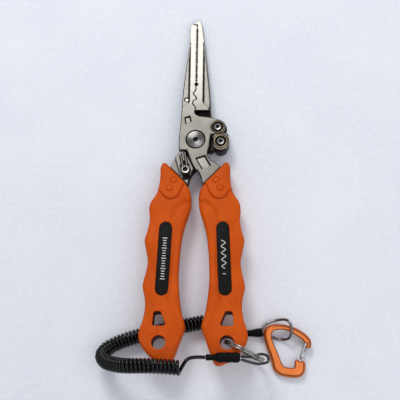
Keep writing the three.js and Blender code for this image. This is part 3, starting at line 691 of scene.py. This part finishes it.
def grip_face(x, y, depth):
    """Height of the grip's face above its middle plane; depth is the distance in from the outline."""
    height = np.full(x.shape, GRIP_HALF)
    crown = smoothstep(depth, 0, CROWN_WIDTH)
    height -= CROWN_DROP * (1 - crown)
    for cx, cy in FINGER_VALLEYS:
        along = np.exp(-((y - cy) / 8) ** 2)
        height -= VALLEY_DEPTH * along * smoothstep(x, 22.5, cx)
        diagonal = (y - cy) + 0.9 * (x - cx) + 6
        rib = np.exp(-(diagonal / 1.1) ** 2) * smoothstep(x, 23.5, 25) * (1 - smoothstep(x, 28, 29.5))
        height += RIB_HEIGHT * rib
    inside_tab = signed(x, y, [*flat_spline(EMBOSS, 0.8), (31, -26), (22, -8), (0, -26)])
    height += TAB_RISE * (1 - smoothstep(inside_tab, -0.5, 0.25))
    height -= 0.62 * np.exp(-((inside_tab - 0.35) / 0.5) ** 2)
    for cx, cy in PIN_PLACES:
        reach = np.hypot(x - cx, y - cy)
        height += 0.4 * (1 - smoothstep(reach, 1.5, 2.0))
        height -= 0.42 * np.exp(-((reach - 2.15) / 0.4) ** 2)
    waist = signed(x, y, [*flat_spline(UPPER_CREASE, 1), (15.2, -62), (14.6, -82), (16.4, -103),
                          *flat_spline(LOWER_CREASE, 1), (2, -126), (2, -42)])
    height -= WAIST_DEPTH * (1 - smoothstep(waist, -1.5, 0.3)) * (1 - 0.6 * smoothstep(-waist, 0.8, 5.5))
    height -= 0.6 * bead(x, y, UPPER_CREASE, 0.8)
    height -= 0.5 * bead(x, y, LOWER_CREASE, 0.8)
    for marks in CHEVRONS:
        height -= 0.36 * bead(x, y, marks, 0.6)
    return height


def grip_solid(step):
    """Rounded blank less its two holes, the two inlay recesses and the room for the tang."""
    outline = flat_spline(GRIP_POINTS, 0.8, closed=True)
    low, high = outline.min(0) - 1.2, outline.max(0) + 1.2
    grid = Grid((*low, -GRIP_HALF - 1.6), (*high, GRIP_HALF + 1.6), step)
    x, y = grid.x, grid.y
    flat = signed(x, y, outline)
    out = np.abs(grid.w)
    level = out - grip_face(x, y, -flat)[:, :, None]
    body = both_rounded(flat[:, :, None], level, GRIP_ROUNDING)
    slot = signed(x, y, SLOT_HOLE) - SLOT_CORNER
    hole = np.hypot(x - ROUND_HOLE[0], y - ROUND_HOLE[1]) - ROUND_HOLE[2]
    body = without(body, slot[:, :, None], 0.7)
    body = without(body, hole[:, :, None], 0.6)
    inlay, _ = polygon_distance(x, y, INLAY_ENDS, closed=False)
    inlay -= INLAY_RADIUS + INLAY_CLEARANCE
    body = without(body, np.maximum(inlay[:, :, None], (GRIP_HALF - INLAY_DEPTH) - out), 0.35)
    tang = np.maximum(signed(x, y, TANG_POINTS)[:, :, None], out - TANG_HALF)
    return grid.mesh(np.maximum(body, -tang))


def turned_over(points):
    return np.asarray(points) * np.array([-1, 1, -1])


GRIP_STEP = 0.38
grip_points, grip_faces = grip_solid(GRIP_STEP)
for side, body in (("right", "right_half"), ("left", "left_half")):
    shape = grip_points if side == "right" else turned_over(grip_points)
    piece(f"{side}_grip_rubber", from_pliers(shape), grip_faces, RUBBER, body, [f"{side}_grip"],
          "orange_rubber")

# ---- steel head ----
def jaw_edge(side):
    """Gripping edge of one jaw: a wave, then V-shaped serrations that meet those of the other jaw."""
    wave = [(x + side * PLATE_GAP, y) for x, y in flat_spline(WAVE, 0.4)]
    serrations = [(side * TOOTH_LAND, TEETH_START - TOOTH_PITCH)]
    y = TEETH_START
    while y + TOOTH_PITCH < LEFT_TIP - 1:
        serrations += [(side * TOOTH_LAND, y - TOOTH_HALF), (side * TOOTH_DEPTH, y),
                       (side * TOOTH_LAND, y + TOOTH_HALF)]
        y += TOOTH_PITCH
    return wave + [(side * PLATE_GAP, 40)] + serrations


def jaw_outline(side):
    line = jaw_edge(side)
    if side < 0:
        line = [(-9.7, 19), (-1.4, 19)] + line
        tip = [(-0.35, LEFT_TIP + 0.3), (-3.6, LEFT_TIP + 0.7), (-4.5, LEFT_TIP - 0.8), (-4.9, 79)]
        return line + tip + [(-x, y) for x, y in JAW_FLANK][::-1]
    tip = [(0.15, LEFT_TIP - 0.4), (0.15, LEFT_TIP + 0.7), (-2.7, LEFT_TIP + 1.1), (-2.5, LEFT_TIP + 1.8),
           (1.5, RIGHT_TIP + 0.8), (2.5, RIGHT_TIP), (3.5, 84.4), (4.2, 78)]
    return line + tip + JAW_FLANK[::-1]


def jaw_top(y):
    """Half thickness of a jaw along its length."""
    return np.interp(y, [JAW_TAPER, RIGHT_TIP], [HEAD_HALF, TIP_HALF]).astype(np.float32)[:, :, None]


def jaw(grid, side):
    """Jaw with a raised middle, a groove beside it and a lower flank."""
    top = jaw_top(grid.y)
    drop_scale = np.interp(grid.y, [JAW_TAPER, RIGHT_TIP], [1, 0.35]).astype(np.float32)[:, :, None]
    height = np.abs(grid.w)
    body = both_rounded(signed(grid.x, grid.y, jaw_outline(side))[:, :, None], height - top, 0.15)
    tip = [(3.1, 89.6), (4.0, 84.4), (4.6, 78)] if side > 0 else [(3.9, 87), (5, 84.2), (5.2, 79)]
    outer = [(-9, 90.5)] + tip + JAW_FLANK[::-1] + [(9.6, 10), (-9, 10)]
    flank_line = grid.outline([(side * x, y) for x, y in outer])
    chamfer = np.interp(grid.y, [JAW_TAPER, 50, 66, 68, 74], [1.35, 1.1, 0.75, 0.6, 0.25])
    chamfer = chamfer.astype(np.float32)[:, :, None]
    body = both_rounded(body, (flank_line + height - top + chamfer) * DIAGONAL, 0.12)
    flank = [(RIDGE, 70), (RIDGE, 27.2), (5.6, 25), (9.9, 21.9), (14, 21.9), (14, 72), (4.2, 72)]
    groove = [(RIDGE, 69), (RIDGE, 27.4), (RIDGE + 0.9, 26), (RIDGE + 1, 27.4), (RIDGE + 0.85, 60),
              (RIDGE + 0.2, 69)]
    for region, drop in ((flank, 0.75), (groove, 1.7)):
        flat = signed(grid.x, grid.y, [(side * x, y) for x, y in region])[:, :, None]
        body = without(body, np.maximum(flat, top - drop * drop_scale - height), 0.12)
    return without(body, grid.disc(NOTCH, NOTCH_RADIUS, -REACH, REACH), 0.1)


def lever(grid, jaw_solid, plate, underside, extras=()):
    body = np.minimum(grid.plate(plate, PLATE_GAP, HEAD_HALF, PLATE_CHAMFER), jaw_solid)
    body = np.minimum(body, grid.prism(underside, -HEAD_HALF, 0.3, 0.3))
    for extra in extras:
        body = np.minimum(body, extra)
    grip_zone = signed(grid.x, grid.y, flat_spline(GRIP_POINTS, 1, closed=True)) - 0.25
    body = without(body, grip_zone[:, :, None], 0.1)
    body = np.minimum(body, grid.prism(TANG_POINTS, -TANG_STEEL, TANG_STEEL))
    body = without(body, grid.disc((0, 0), PIVOT_BORE, -REACH, REACH))
    return without(body, grid.disc((0, 0), *COUNTERBORE, REACH), 0.2)


def front_lever(step):
    grid = Grid((-12.5, -33.5, -5.2), (22.2, 90, 5.6), step)
    plate = PLATE_LEFT + PLATE_TOP + UPPER_BOSS + PLATE_RIGHT
    body = lever(grid, jaw(grid, -1), plate, RIGHT_UNDERSIDE)
    reach = np.hypot(grid.x - UPPER_CUTTER[0], grid.y - UPPER_CUTTER[1])[:, :, None]
    layer = np.floor((HEAD_HALF - grid.w) / 1.15)
    stepped = np.where(grid.x[:, :, None] > 16.5, reach - 5.15 - 0.42 * layer, -5).astype(np.float32)
    body = both_rounded(body, stepped, 0.1)
    body = without(body, grid.disc(UPPER_CUTTER, UPPER_POCKET, POCKET_FLOOR, REACH))
    over = np.maximum(grid.prism([(10.4, -3), (24, -3), (24, 8), (10.4, 8)], -REACH, REACH),
                      grid.half_plane(CUT_POINT, CUT_ANGLE, 1) - CUT_GAP)
    body = without(body, over)
    for window, foot, slope in ((LOWER_WINDOW, -20.0, 0.09), (UPPER_WINDOW, 11.5, 0.12)):
        floor_level = HEAD_HALF - 0.35 - slope * np.clip(grid.y - foot, 0, 9)[:, :, None]
        flat = signed(grid.x, grid.y, window)[:, :, None]
        body = without(body, np.maximum(flat, floor_level - grid.w), 0.12)
        for line, width in ((window[:3], 0.62), ((window[0], window[3]), 0.4)):
            reach, _ = polygon_distance(grid.x, grid.y, line, closed=False)
            channel = np.maximum(flat, reach[:, :, None] - width)
            body = without(body, np.maximum(channel, HEAD_HALF - CHANNEL_DEPTH - grid.w), 0.1)
    body = without(body, grid.disc(JAW_HOLE, 1.5, 2.75, REACH), 0.12)
    return grid.mesh(body)


def rear_lever(step):
    """In the turned frame until the end: across and out both change sign."""
    grid = Grid((-23, -33.5, -5.2), (18.5, 90, 5.6), step)
    plate = PLATE_LEFT + PLATE_TOP + PLATE_RIGHT
    reach = np.hypot(grid.x + LOWER_CUTTER[0], grid.y - LOWER_CUTTER[1])[:, :, None]
    flank = (reach - 6.0 - 0.75 * np.clip(4.7 + grid.w, 0, 9)) * 0.8
    boss = both_rounded(grid.prism(LOWER_BOSS, -4.75, HEAD_HALF, 0.3), flank.astype(np.float32), 0.3)
    front = grid.turned()
    body = lever(grid, jaw(front, 1), plate, LEFT_UNDERSIDE,
                 [boss, grid.prism(LOWER_ARM, PLATE_GAP, HEAD_HALF)])
    body = without(body, front.disc(LOWER_CUTTER, LOWER_POCKET, POCKET_FLOOR, REACH))
    over = np.maximum(front.prism([(11.5, -3), (24, -3), (24, 12), (11.5, 12)], -REACH, REACH),
                      front.half_plane(CUT_POINT, CUT_ANGLE, -1) - CUT_GAP)
    body = without(body, over)
    body = without(body, front.bar(2.35, -28.4, -4, 0.6, REACH), 0.15)
    body = without(body, front.bar(3.1, -28.2, -17.4, 3.0, REACH), 0.15)
    for seam in LOCK_SEAMS:
        line, _ = polygon_distance(front.x, front.y, seam, closed=False)
        body = without(body, np.maximum(line[:, :, None] - 0.28, 3.7 - front.w), 0.1)
    points, faces = grid.mesh(body)
    return turned_over(points), faces


STEEL_STEP = 0.26
for name, body, (points, faces) in (("front_lever", "right_half", front_lever(STEEL_STEP)),
                                    ("rear_lever", "left_half", rear_lever(STEEL_STEP))):
    piece(f"{name}_steel", from_pliers(points), faces, STEEL, body, [name], "blasted_steel")


def turned_piece(name, profile, place, material, body, node, slot, corners=6, turn=0.2, segments=72):
    """A turned solid about the normal: (radius, height, how far it is a polygon) from top to bottom."""
    angles = np.linspace(0, 2 * np.pi, segments, endpoint=False)
    wedge = 2 * np.pi / corners
    corner = math.cos(wedge / 2) / np.cos((angles + turn) % wedge - wedge / 2) * 1.05
    rings = []
    for radius, height, sharp in profile:
        r = radius * (1 - sharp + sharp * corner)
        rings.append(np.stack([place[0] + r * np.cos(angles), place[1] + r * np.sin(angles),
                               np.full(segments, height)], axis=1))
    points = np.concatenate([*rings, [(*place, profile[0][1]), (*place, profile[-1][1])]])
    faces = [(a, d, c, b) for a, b, c, d in loft_faces(len(profile), segments)]
    first, last = len(points) - 2, len(points) - 1
    end = (len(profile) - 1) * segments
    for j in range(segments):
        faces.append((first, j, (j + 1) % segments))
        faces.append((last, end + (j + 1) % segments, end + j))
    made = piece(name, from_pliers(points), faces, material, body, [node] if node else (), slot)
    # Painted shade: the faces inside the socket take the near-black socket material.
    made.data.materials.append(SOCKET_SHADE)
    centre = Vector(from_pliers((*place, 0)) * MM)
    for face in made.data.polygons:
        reach = (face.center - centre).cross(Vector(NORMAL)).length / MM
        if reach < profile[0][0] * 1.1:
            face.material_index = 1
    split = made.modifiers.new("split", "EDGE_SPLIT")
    split.split_angle = math.radians(28)
    return made


DISC = [(1.55, 2.9, 1), (1.62, 4.55, 1), (1.85, 4.72, 0.6), (2.1, 4.74, 0), (5.45, 4.78, 0),
        (5.7, 4.72, 0), (5.88, 4.5, 0), (5.88, 2.9, 0), (3, 2.9, 0), (3, -4.1, 0)]
LOCK_HEAD = [(1.5, 4, 1), (1.58, 5.2, 1), (1.8, 5.38, 0.4), (2.25, 5.42, 0), (2.6, 5.2, 0),
             (2.75, 4.8, 0), (2.75, 3.5, 0), (1, 3.4, 0), (1, 1.2, 0)]
CUTTER_HEAD = [(1.3, 3.9, 1), (1.35, 4.75, 1), (1.5, 4.92, 0.3), (1.95, 4.95, 0), (2.3, 4.75, 0),
               (2.42, 4.35, 0), (2.42, 3.6, 0), (1.2, 3.5, 0)]
JAW_PIN = [(0.2, 3.3, 0), (0.9, 3.3, 0), (1.1, 3.1, 0), (1.15, 2.6, 0)]
turned_piece("pivot_disc", DISC, (0, 0), TURNED, "right_half", "pivot_bolt", "polished_steel")
turned_piece("lock_screw_head", LOCK_HEAD, LOCK_SCREW, PALE_STEEL, "lock", "lock_screw", "polished_steel")
for place, side, low in ((UPPER_CUTTER, "upper", 0.4), (LOWER_CUTTER, "lower", -2)):
    body = "right_half" if side == "upper" else "left_half"
    turned_piece(f"{side}_cutter_screw_head", [*CUTTER_HEAD, (1.2, low, 0)], place, POLISHED, body,
                 f"{side}_cutter_screw", "black_steel", turn=0.4, segments=48)


def cutter_insert(place, size, side, body, step=0.2):
    """Round cutting insert: a tinted rim, a countersink darkened by painted shade and a flat on the cutting
    line.
    """
    x, y = place
    grid = Grid((x - size - 0.6, y - size - 0.6, 0.9), (x + size + 0.6, y + size + 0.6, 5.5), step)
    field = grid.disc(place, size, 1.3, 4.85, 0.25)
    reach = np.hypot(grid.x - x, grid.y - y)[:, :, None]
    field = without(field, np.maximum(reach - SINK_RADIUS, 3.35 - grid.w), 0.15)
    field = without(field, grid.disc(place, 1.5, -REACH, REACH), 0.1)
    past_cut = grid.half_plane(CUT_POINT, CUT_ANGLE, -1 if side == "upper" else 1)
    field = both_rounded(field, past_cut + 0.15, 0.15)
    points, faces = grid.mesh(field)
    return piece(f"{side}_cutter_insert", from_pliers(points), faces, insert_material(side, place), body,
                 [f"{side}_cutter"], "carbide")


cutter_insert(UPPER_CUTTER, 4.35, "upper", "right_half")
cutter_insert(LOWER_CUTTER, 4.75, "lower", "left_half")


def lock_slide(step=0.2):
    """Flat slide with a slot down its middle and a tongue in the slot."""
    grid = Grid((-12.5, -25.5, 0.6), (-1, -5.5, 3.8), step)
    body = grid.bar(1.9, -23.8, -8.3, 0.95, 3.2, 0.2)
    body = without(body, grid.bar(0.95, -18.8, -8, 1.3, REACH, 0.1), 0.12)
    body = np.minimum(body, grid.bar(0.55, -14.6, -8.0, 1.2, 3.7, 0.15))
    body = without(body, grid.prism([(-12.5, -10.2), (-12.5, -5), (-8.4, -5), (-8.4, -6)], 0, REACH), 0.1)
    return grid.mesh(body)


turned_piece("jaw_pin", JAW_PIN, (-6.45, 28.95), PALE_STEEL, "right_half", None, "blasted_steel",
             segments=32)
points, faces = lock_slide()
piece("lock_slide_plate", from_pliers(points), faces, STEEL, "lock", ["lock_slide"], "blasted_steel")
dress("pivot_washer", BRONZE, 0.08)
dress("pivot_bush", BRONZE, 0.08)
dress("pivot_nut", STEEL, 0.2)
dress("return_spring", WIRE, 0.05)
for side in ("right", "left"):
    for place in ("upper", "lower"):
        dress(f"{side}_tang_pin_{place}", PIN_RUBBER, 0.2)
    for face in ("front", "back"):
        dress(f"{side}_inlay_{face}", INLAY, 0.25)


def ribbon(line, width, low, high):
    """A flat raised strip along a line in the pliers' own frame."""
    line = np.asarray(line, float)
    along = np.gradient(line, axis=0)
    along /= np.linalg.norm(along, axis=1)[:, None]
    side = np.stack([-along[:, 1], along[:, 0]], axis=1) * width / 2
    rows = [np.column_stack([line + k * side, np.full(len(line), h)])
            for k, h in ((-1, low), (-0.8, high), (0.8, high), (1, low))]
    points = np.stack(rows, axis=1).reshape(-1, 3)
    end = len(points) - 4
    return points, [*loft_faces(len(line), 4), (3, 2, 1, 0), (end, end + 1, end + 2, end + 3)]


def joined(parts):
    points, faces, count = [], [], 0
    for part_points, part_faces in parts:
        points.append(part_points)
        faces += [tuple(i + count for i in face) for face in part_faces]
        count += len(part_points)
    return np.concatenate(points), faces


MARK_LEVELS = (GRIP_HALF - 0.4, GRIP_HALF - 0.08)
INLAY_LEAN = (INLAY_ENDS[1] - INLAY_ENDS[0]) / np.linalg.norm(INLAY_ENDS[1] - INLAY_ENDS[0])
INLAY_ACROSS = np.array([-INLAY_LEAN[1], INLAY_LEAN[0]])


def on_inlay(along, across):
    return INLAY_ENDS[0] + along * INLAY_LEAN + across * INLAY_ACROSS


def bar_marks():
    """A plain scale of short bars along the inlay."""
    parts = []
    for i in range(17):
        half = 1.55 if i % 4 == 0 else 1.1
        bar = [on_inlay(6.6 + 1.68 * i, across) for across in (-half, 0, half)]
        parts.append(ribbon(bar, 0.62, *MARK_LEVELS))
    return joined(parts)


def wave_mark():
    """A wave line with one short bar under its end."""
    wave = [on_inlay(along, 1.35 * math.sin(along * 2 * math.pi / 4.4))
            for along in np.arange(8, 27, 0.25)]
    short = [on_inlay(30.2, across) for across in (-1, 0, 1)]
    return joined([ribbon(wave, 0.55, *MARK_LEVELS), ribbon(short, 0.5, *MARK_LEVELS)])


points, faces = wave_mark()
piece("right_inlay_marks", from_pliers(points), faces, MARKS, "right_half", slot="black_inlay",
      smooth=False)
points, faces = bar_marks()
points = points * np.array([-1, 1, 1])
piece("left_inlay_marks", from_pliers(points), [face[::-1] for face in faces], MARKS, "left_half",
      slot="black_inlay", smooth=False)

# ---- lanyard ----
COIL_PATH = [
    (6.4, -89.8, 5.1), (-7, -92.4, 5.1), (-23, -95.8, 5.1), (-35, -98.5, 5.1), (-47, -102.4, 5.1),
    (-54.6, -106.4, 6.4), (-57.8, -111.2, 10.6), (-54.8, -115.8, 16.6), (-47, -118.3, 22.8),
    (-38, -119.2, 28.2), (-28, -119.3, 30.5), (-18, -119.6, 30.8), (-7, -120.5, 30.8),
]
TAIL_PATH = [(9.4, -90.0, 1.9), (14, -91.6, 2.2), (24, -94.6, 2.4), (31, -96.4, 2.6), (34.9, -96.9, 2.7)]
LEAD_PATH = [(-3.6, -116.6, 31.2), (-0.9, -114.6, 30.4), (3.2, -113.9, 29.4), (8.2, -113.9, 28.6)]
CORD_DIAMETER = 2.3
COIL_RADIUS = 3.75
TURN_POINTS = 16
FIRST_PITCH = 2.45  # from one winding to the next at the tail's end, on the surface
LAST_PITCH = 2.5  # and at the lead's end


def coil_line():
    """The helix round the coil's own line, from the tail's end to the lead's end."""
    core = spline(COIL_PATH, 0.25)
    run = run_along(core)
    _, first, second = frames_along(core)
    pitch = FIRST_PITCH + (LAST_PITCH - FIRST_PITCH) * smoothstep(run / run[-1], 0.35, 0.6)
    turns = np.concatenate([[0], np.cumsum(np.diff(run) / pitch[1:])])
    turns *= round(turns[-1] + 0.25) / turns[-1]
    at = np.arange(0, turns[-1], 1 / TURN_POINTS)
    place = np.interp(at, turns, np.arange(len(core)))
    low = np.floor(place).astype(int).clip(0, len(core) - 2)
    part = (place - low)[:, None]
    centre, right, up = (values[low] * (1 - part) + values[low + 1] * part
                         for values in (core, first, second))
    angle = (2 * np.pi * at + np.pi)[:, None]
    return centre + COIL_RADIUS * (np.cos(angle) * right + np.sin(angle) * up)


helix = coil_line()
cord_line = np.concatenate([
    spline([helix[-2], helix[-1], *LEAD_PATH], 0.8)[2:][::-1],
    helix[::-1][1:],
    spline([helix[1], helix[0], *TAIL_PATH], 0.8)[2:],
])
cord_points, cord_faces = sweep(cord_line, lambda angle, share: CORD_DIAMETER / 2, 10)
cord = piece("lanyard_cord", cord_points, cord_faces, CORD, None,
             ["lanyard_coil", "lanyard_lead", "lanyard_tail"], "black_cord")


def sleeve(name, start, end, shape, node):
    """Shrink sleeve: a soft tube with slight bulges."""
    def bulging(angle, share):
        long_wave = 0.03 * math.sin(5 * share * 6.28 + 2 * angle)
        return shape(share) * (1 + long_wave + 0.02 * math.sin(11 * share * 6.28 - angle))

    line = np.linspace(start, end, 44)
    return piece(name, *sweep(line, bulging, 24), SLEEVE, "right_half", [node], "black_sleeve")


def ring_profile(share):
    radius = 1.85 + 1.25 * smoothstep(share, 0.24, 0.36)
    return radius * (1 - 0.28 * smoothstep(share, 0.93, 1.0)) * (0.8 + 0.2 * smoothstep(share, 0, 0.03))


def carabiner_profile(share):
    return (2.0 + 0.75 * smoothstep(share, 0.15, 0.75)) * (1 - 0.15 * smoothstep(share, 0.93, 1.0))


ring_sleeve = sleeve("ring_shrink_sleeve", (8.5, -113.9, 28.5), (29.8, -113.9, 28.2), ring_profile,
                     "ring_sleeve")
clip_sleeve = sleeve("clip_shrink_sleeve", (33.6, -96.9, 2.75), (43.4, -96.1, 2.9), carabiner_profile,
                     "carabiner_sleeve")

RING_CENTRE = np.array(joints["ring_turn"]["pos_m"]) / MM
RING_AXIS = np.array(joints["ring_turn"]["axis"])
RING_SIDE = np.array([RING_AXIS[1], -RING_AXIS[0], 0])
RING_RADIUS = 13.35
RING_WIRE = 0.62


def at_ring(along, out, up):
    return RING_CENTRE + along * RING_SIDE + out * RING_AXIS + up * np.array([0, 0, 1])


RING_LOOP = [at_ring(*p) for p in ((1.5, -6.1, 13.7), (6, -5.3, 11.6), (11, -4, 9.8), (15, -1.5, 8.6),
                                   (16.4, 0.8, 8), (14.4, 3.2, 7.3), (10.6, 2.6, 6.9), (7.5, 0, 7.6),
                                   (4.6, -2.5, 9.6), (2, -3.8, 12.6), (0.6, -4.3, 13.7))]
CLIP_LOOP = [(42.9, -95.1, 2.7), (43.6, -93.4, 2.7), (46.4, -90.3, 2.6), (51.4, -88.6, 2.9),
             (55.8, -88.1, 4.8), (59, -88.7, 7.5), (61.0, -91.0, 9.2), (61.8, -94.4, 9.5), (61.4, -97.8, 8),
             (59.8, -100.2, 4.6), (56.2, -100.5, 1.8), (52, -99.8, 0.98), (48, -98.5, 0.98),
             (44.6, -97.5, 0.98), (43, -97, 1.8)]


def strand(name, points, node, material, slot, twist=14):
    """Stranded wire: a lobed section that turns along the line."""
    def lobed(angle, share):
        return 0.9 * (0.9 + 0.1 * abs(math.cos(3 * (angle + twist * 2 * math.pi * share))))

    return piece(name, *sweep(spline(points, 0.4), lobed, 18), material, "right_half", [node], slot)


ring_loop = strand("ring_wire_loop", RING_LOOP, "ring_loop", DARK_WIRE, "coated_wire")
clip_loop = strand("clip_wire_loop", CLIP_LOOP, "carabiner_loop", COATED, "coated_wire", 18)


def split_ring():
    """Two turns of round wire lying side by side, joined by a short crossover."""
    def blunt(angle, share):
        return RING_WIRE * (0.4 + 0.6 * smoothstep(min(share, 1 - share), 0, 0.004))

    share = np.linspace(0, 1, 150)
    angle = 2 * np.pi * 2 * share + 0.6
    out = -0.72 + 1.44 * smoothstep(share, 0.44, 0.56)
    line = np.array([at_ring(RING_RADIUS * math.cos(a), o, RING_RADIUS * math.sin(a))
                     for a, o in zip(angle, out)])
    return piece("split_ring_wire", *sweep(line, blunt), POLISHED, "ring", ["split_ring"],
                 "polished_steel")


ring_wire = split_ring()

CARABINER_PLACE = np.array([47.5, -96.6, 2.35])
CARABINER_LEAN = math.radians(4.6)
CARABINER_THICK = 4.6
CARABINER_OUTER = [
    (26.3, -9.3), (26.9, -6.1), (25.9, -3.2), (22.6, 0.1), (18.2, 2.8), (13.8, 4.6), (9.6, 5.5), (4.6, 5.7),
    (0.6, 5.2), (-2.4, 3.2), (-3.5, -0.2), (-3.2, -3.4), (-1.8, -8.4), (0.2, -14.4), (1.5, -18.8),
    (2.9, -23.2), (6.6, -26.2), (11.2, -27.4), (17, -27.9), (20.6, -26.6), (22.6, -23.6), (23, -18.4)]
CARABINER_INNER = [
    (20.6, -17), (19.4, -18), (18.3, -16.6), (16.9, -16.6), (16.2, -18.2), (15.8, -21.4), (12, -21.5),
    (8.9, -20.4), (7.4, -17.4), (6.1, -13.6), (3.7, -8.4), (1.9, -3.4), (1.9, -0.2), (3.8, 1.7), (8.6, 2.2),
    (12.2, 1.4), (16.2, -0.7), (20.6, -3.6), (22.7, -6.3), (23.2, -9.2)]
GATE_HINGE = (23.9, -6.6)


def from_carabiner(points):
    """Points in the carabiner's own frame, mm, to the part's frame, mm."""
    x, y, z = np.asarray(points, float).T
    c, s = math.cos(CARABINER_LEAN), math.sin(CARABINER_LEAN)
    return np.stack([x, y * c - z * s, y * s + z * c], axis=1) + CARABINER_PLACE


def anodised():
    """Orange anodised metal, with painted dark reflection as edge lines and painted shade on its chamfers
    and sides.
    """
    material = surface("orange_anodised", (0.8, 0.2, 0.045), (0.87, 0.25, 0.062), (0.34, 0.46), 0.75,
                       patch=5, grain=0.3, bump=0.1)
    tree, place, colour = opened(material)
    flat = facing(tree, place, (0, -math.sin(CARABINER_LEAN), math.cos(CARABINER_LEAN)))
    # Painted dark reflection: a thin dark line where the face turns into the chamfer.
    colour = mix(tree, spread(tree, flat, 0.985, 0.93, 0, 0.9), colour, (0.12, 0.025, 0.006))
    # Painted shade on the chamfers.
    colour = mix(tree, spread(tree, flat, 0.84, 0.76, 0, 0.95), colour, (0.62, 0.15, 0.03))
    # Painted shade on the upright sides.
    colour = mix(tree, spread(tree, flat, 0.55, 0.3, 0, 0.85), colour, (0.26, 0.055, 0.01))
    return recoloured(material, colour)


def carabiner_body(step):
    outer = flat_spline(CARABINER_OUTER, 0.5)
    outline = [*outer, *flat_spline(CARABINER_INNER, 0.5)]
    grid = Grid((-4.6, -29, -1), (28, 6.8, CARABINER_THICK + 1), step)
    rim = (grid.outline(outer) + grid.between(0, CARABINER_THICK) + 1.5) * DIAGONAL
    body = both_rounded(grid.plate(outline, 0, CARABINER_THICK, 0.5), rim, 0.4)
    body = without(body, grid.disc(GATE_HINGE, 0.75, -REACH, REACH), 0.1)
    points, faces = grid.mesh(body)
    return piece("carabiner_frame", from_carabiner(points), faces, anodised(), "carabiner",
                 ["carabiner_body"], "orange_anodised")


def carabiner_gate():
    """Sprung wire gate: from the hinge bore over the front face to the hook, and back behind it."""
    x, y = GATE_HINGE
    legs = [(x, y, 2.3), (x - 0.2, y, 4.7), (x - 1.3, y - 1.0, 5.3), (x - 2.9, y - 4.4, 5.0),
            (x - 3.8, y - 7.8, 4.2), (x - 3.9, y - 9, 3.2), (x - 3.4, y - 9.2, 1.6),
            (x - 2.2, y - 7.4, 0.6), (x - 0.2, y - 3.8, -0.1), (x + 0.5, y - 1, -0.3), (x + 0.1, y, 0.2),
            (x, y, 2.2)]
    points, faces = sweep(spline(legs, 0.3), lambda angle, share: 0.66)
    return piece("carabiner_wire_gate", from_carabiner(points), faces, WIRE, "gate", ["carabiner_gate"],
                 "wire_steel")


carabiner = carabiner_body(0.3)
gate = carabiner_gate()

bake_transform(cord)

# ---- surroundings ----
floor_mesh = bpy.data.meshes.new("floor")
floor_mesh.from_pydata([(-2, -2, 0), (2, -2, 0), (2, 2, 0), (-2, 2, 0)], [], [(0, 1, 2, 3)])
floor = bpy.data.objects.new("floor", floor_mesh)
bpy.context.scene.collection.objects.link(floor)
floor_mesh.materials.append(surface("pale_floor", (0.77, 0.795, 0.86), (0.82, 0.845, 0.905), (0.7, 0.85),
                                    patch=60, grain=3, bump=0.02))

world = bpy.data.worlds.new("soft_light")
bpy.context.scene.world = world
world.use_nodes = True
world.node_tree.nodes["Background"].inputs["Color"].default_value = (0.92, 0.95, 1, 1)
world.node_tree.nodes["Background"].inputs["Strength"].default_value = 0.46


def area_light(name, place, size, power):
    light = bpy.data.objects.new(name, bpy.data.lights.new(name, "AREA"))
    light.data.size = size
    light.data.energy = power
    light.location = place
    light.rotation_mode = "QUATERNION"
    light.rotation_quaternion = Vector(place).to_track_quat("Z", "Y")
    bpy.context.scene.collection.objects.link(light)
    return light


area_light("key_light", (-0.2, 0.66, 0.75), 0.34, 4.5)
area_light("fill_light", (0.45, -0.3, 0.8), 1.0, 3)
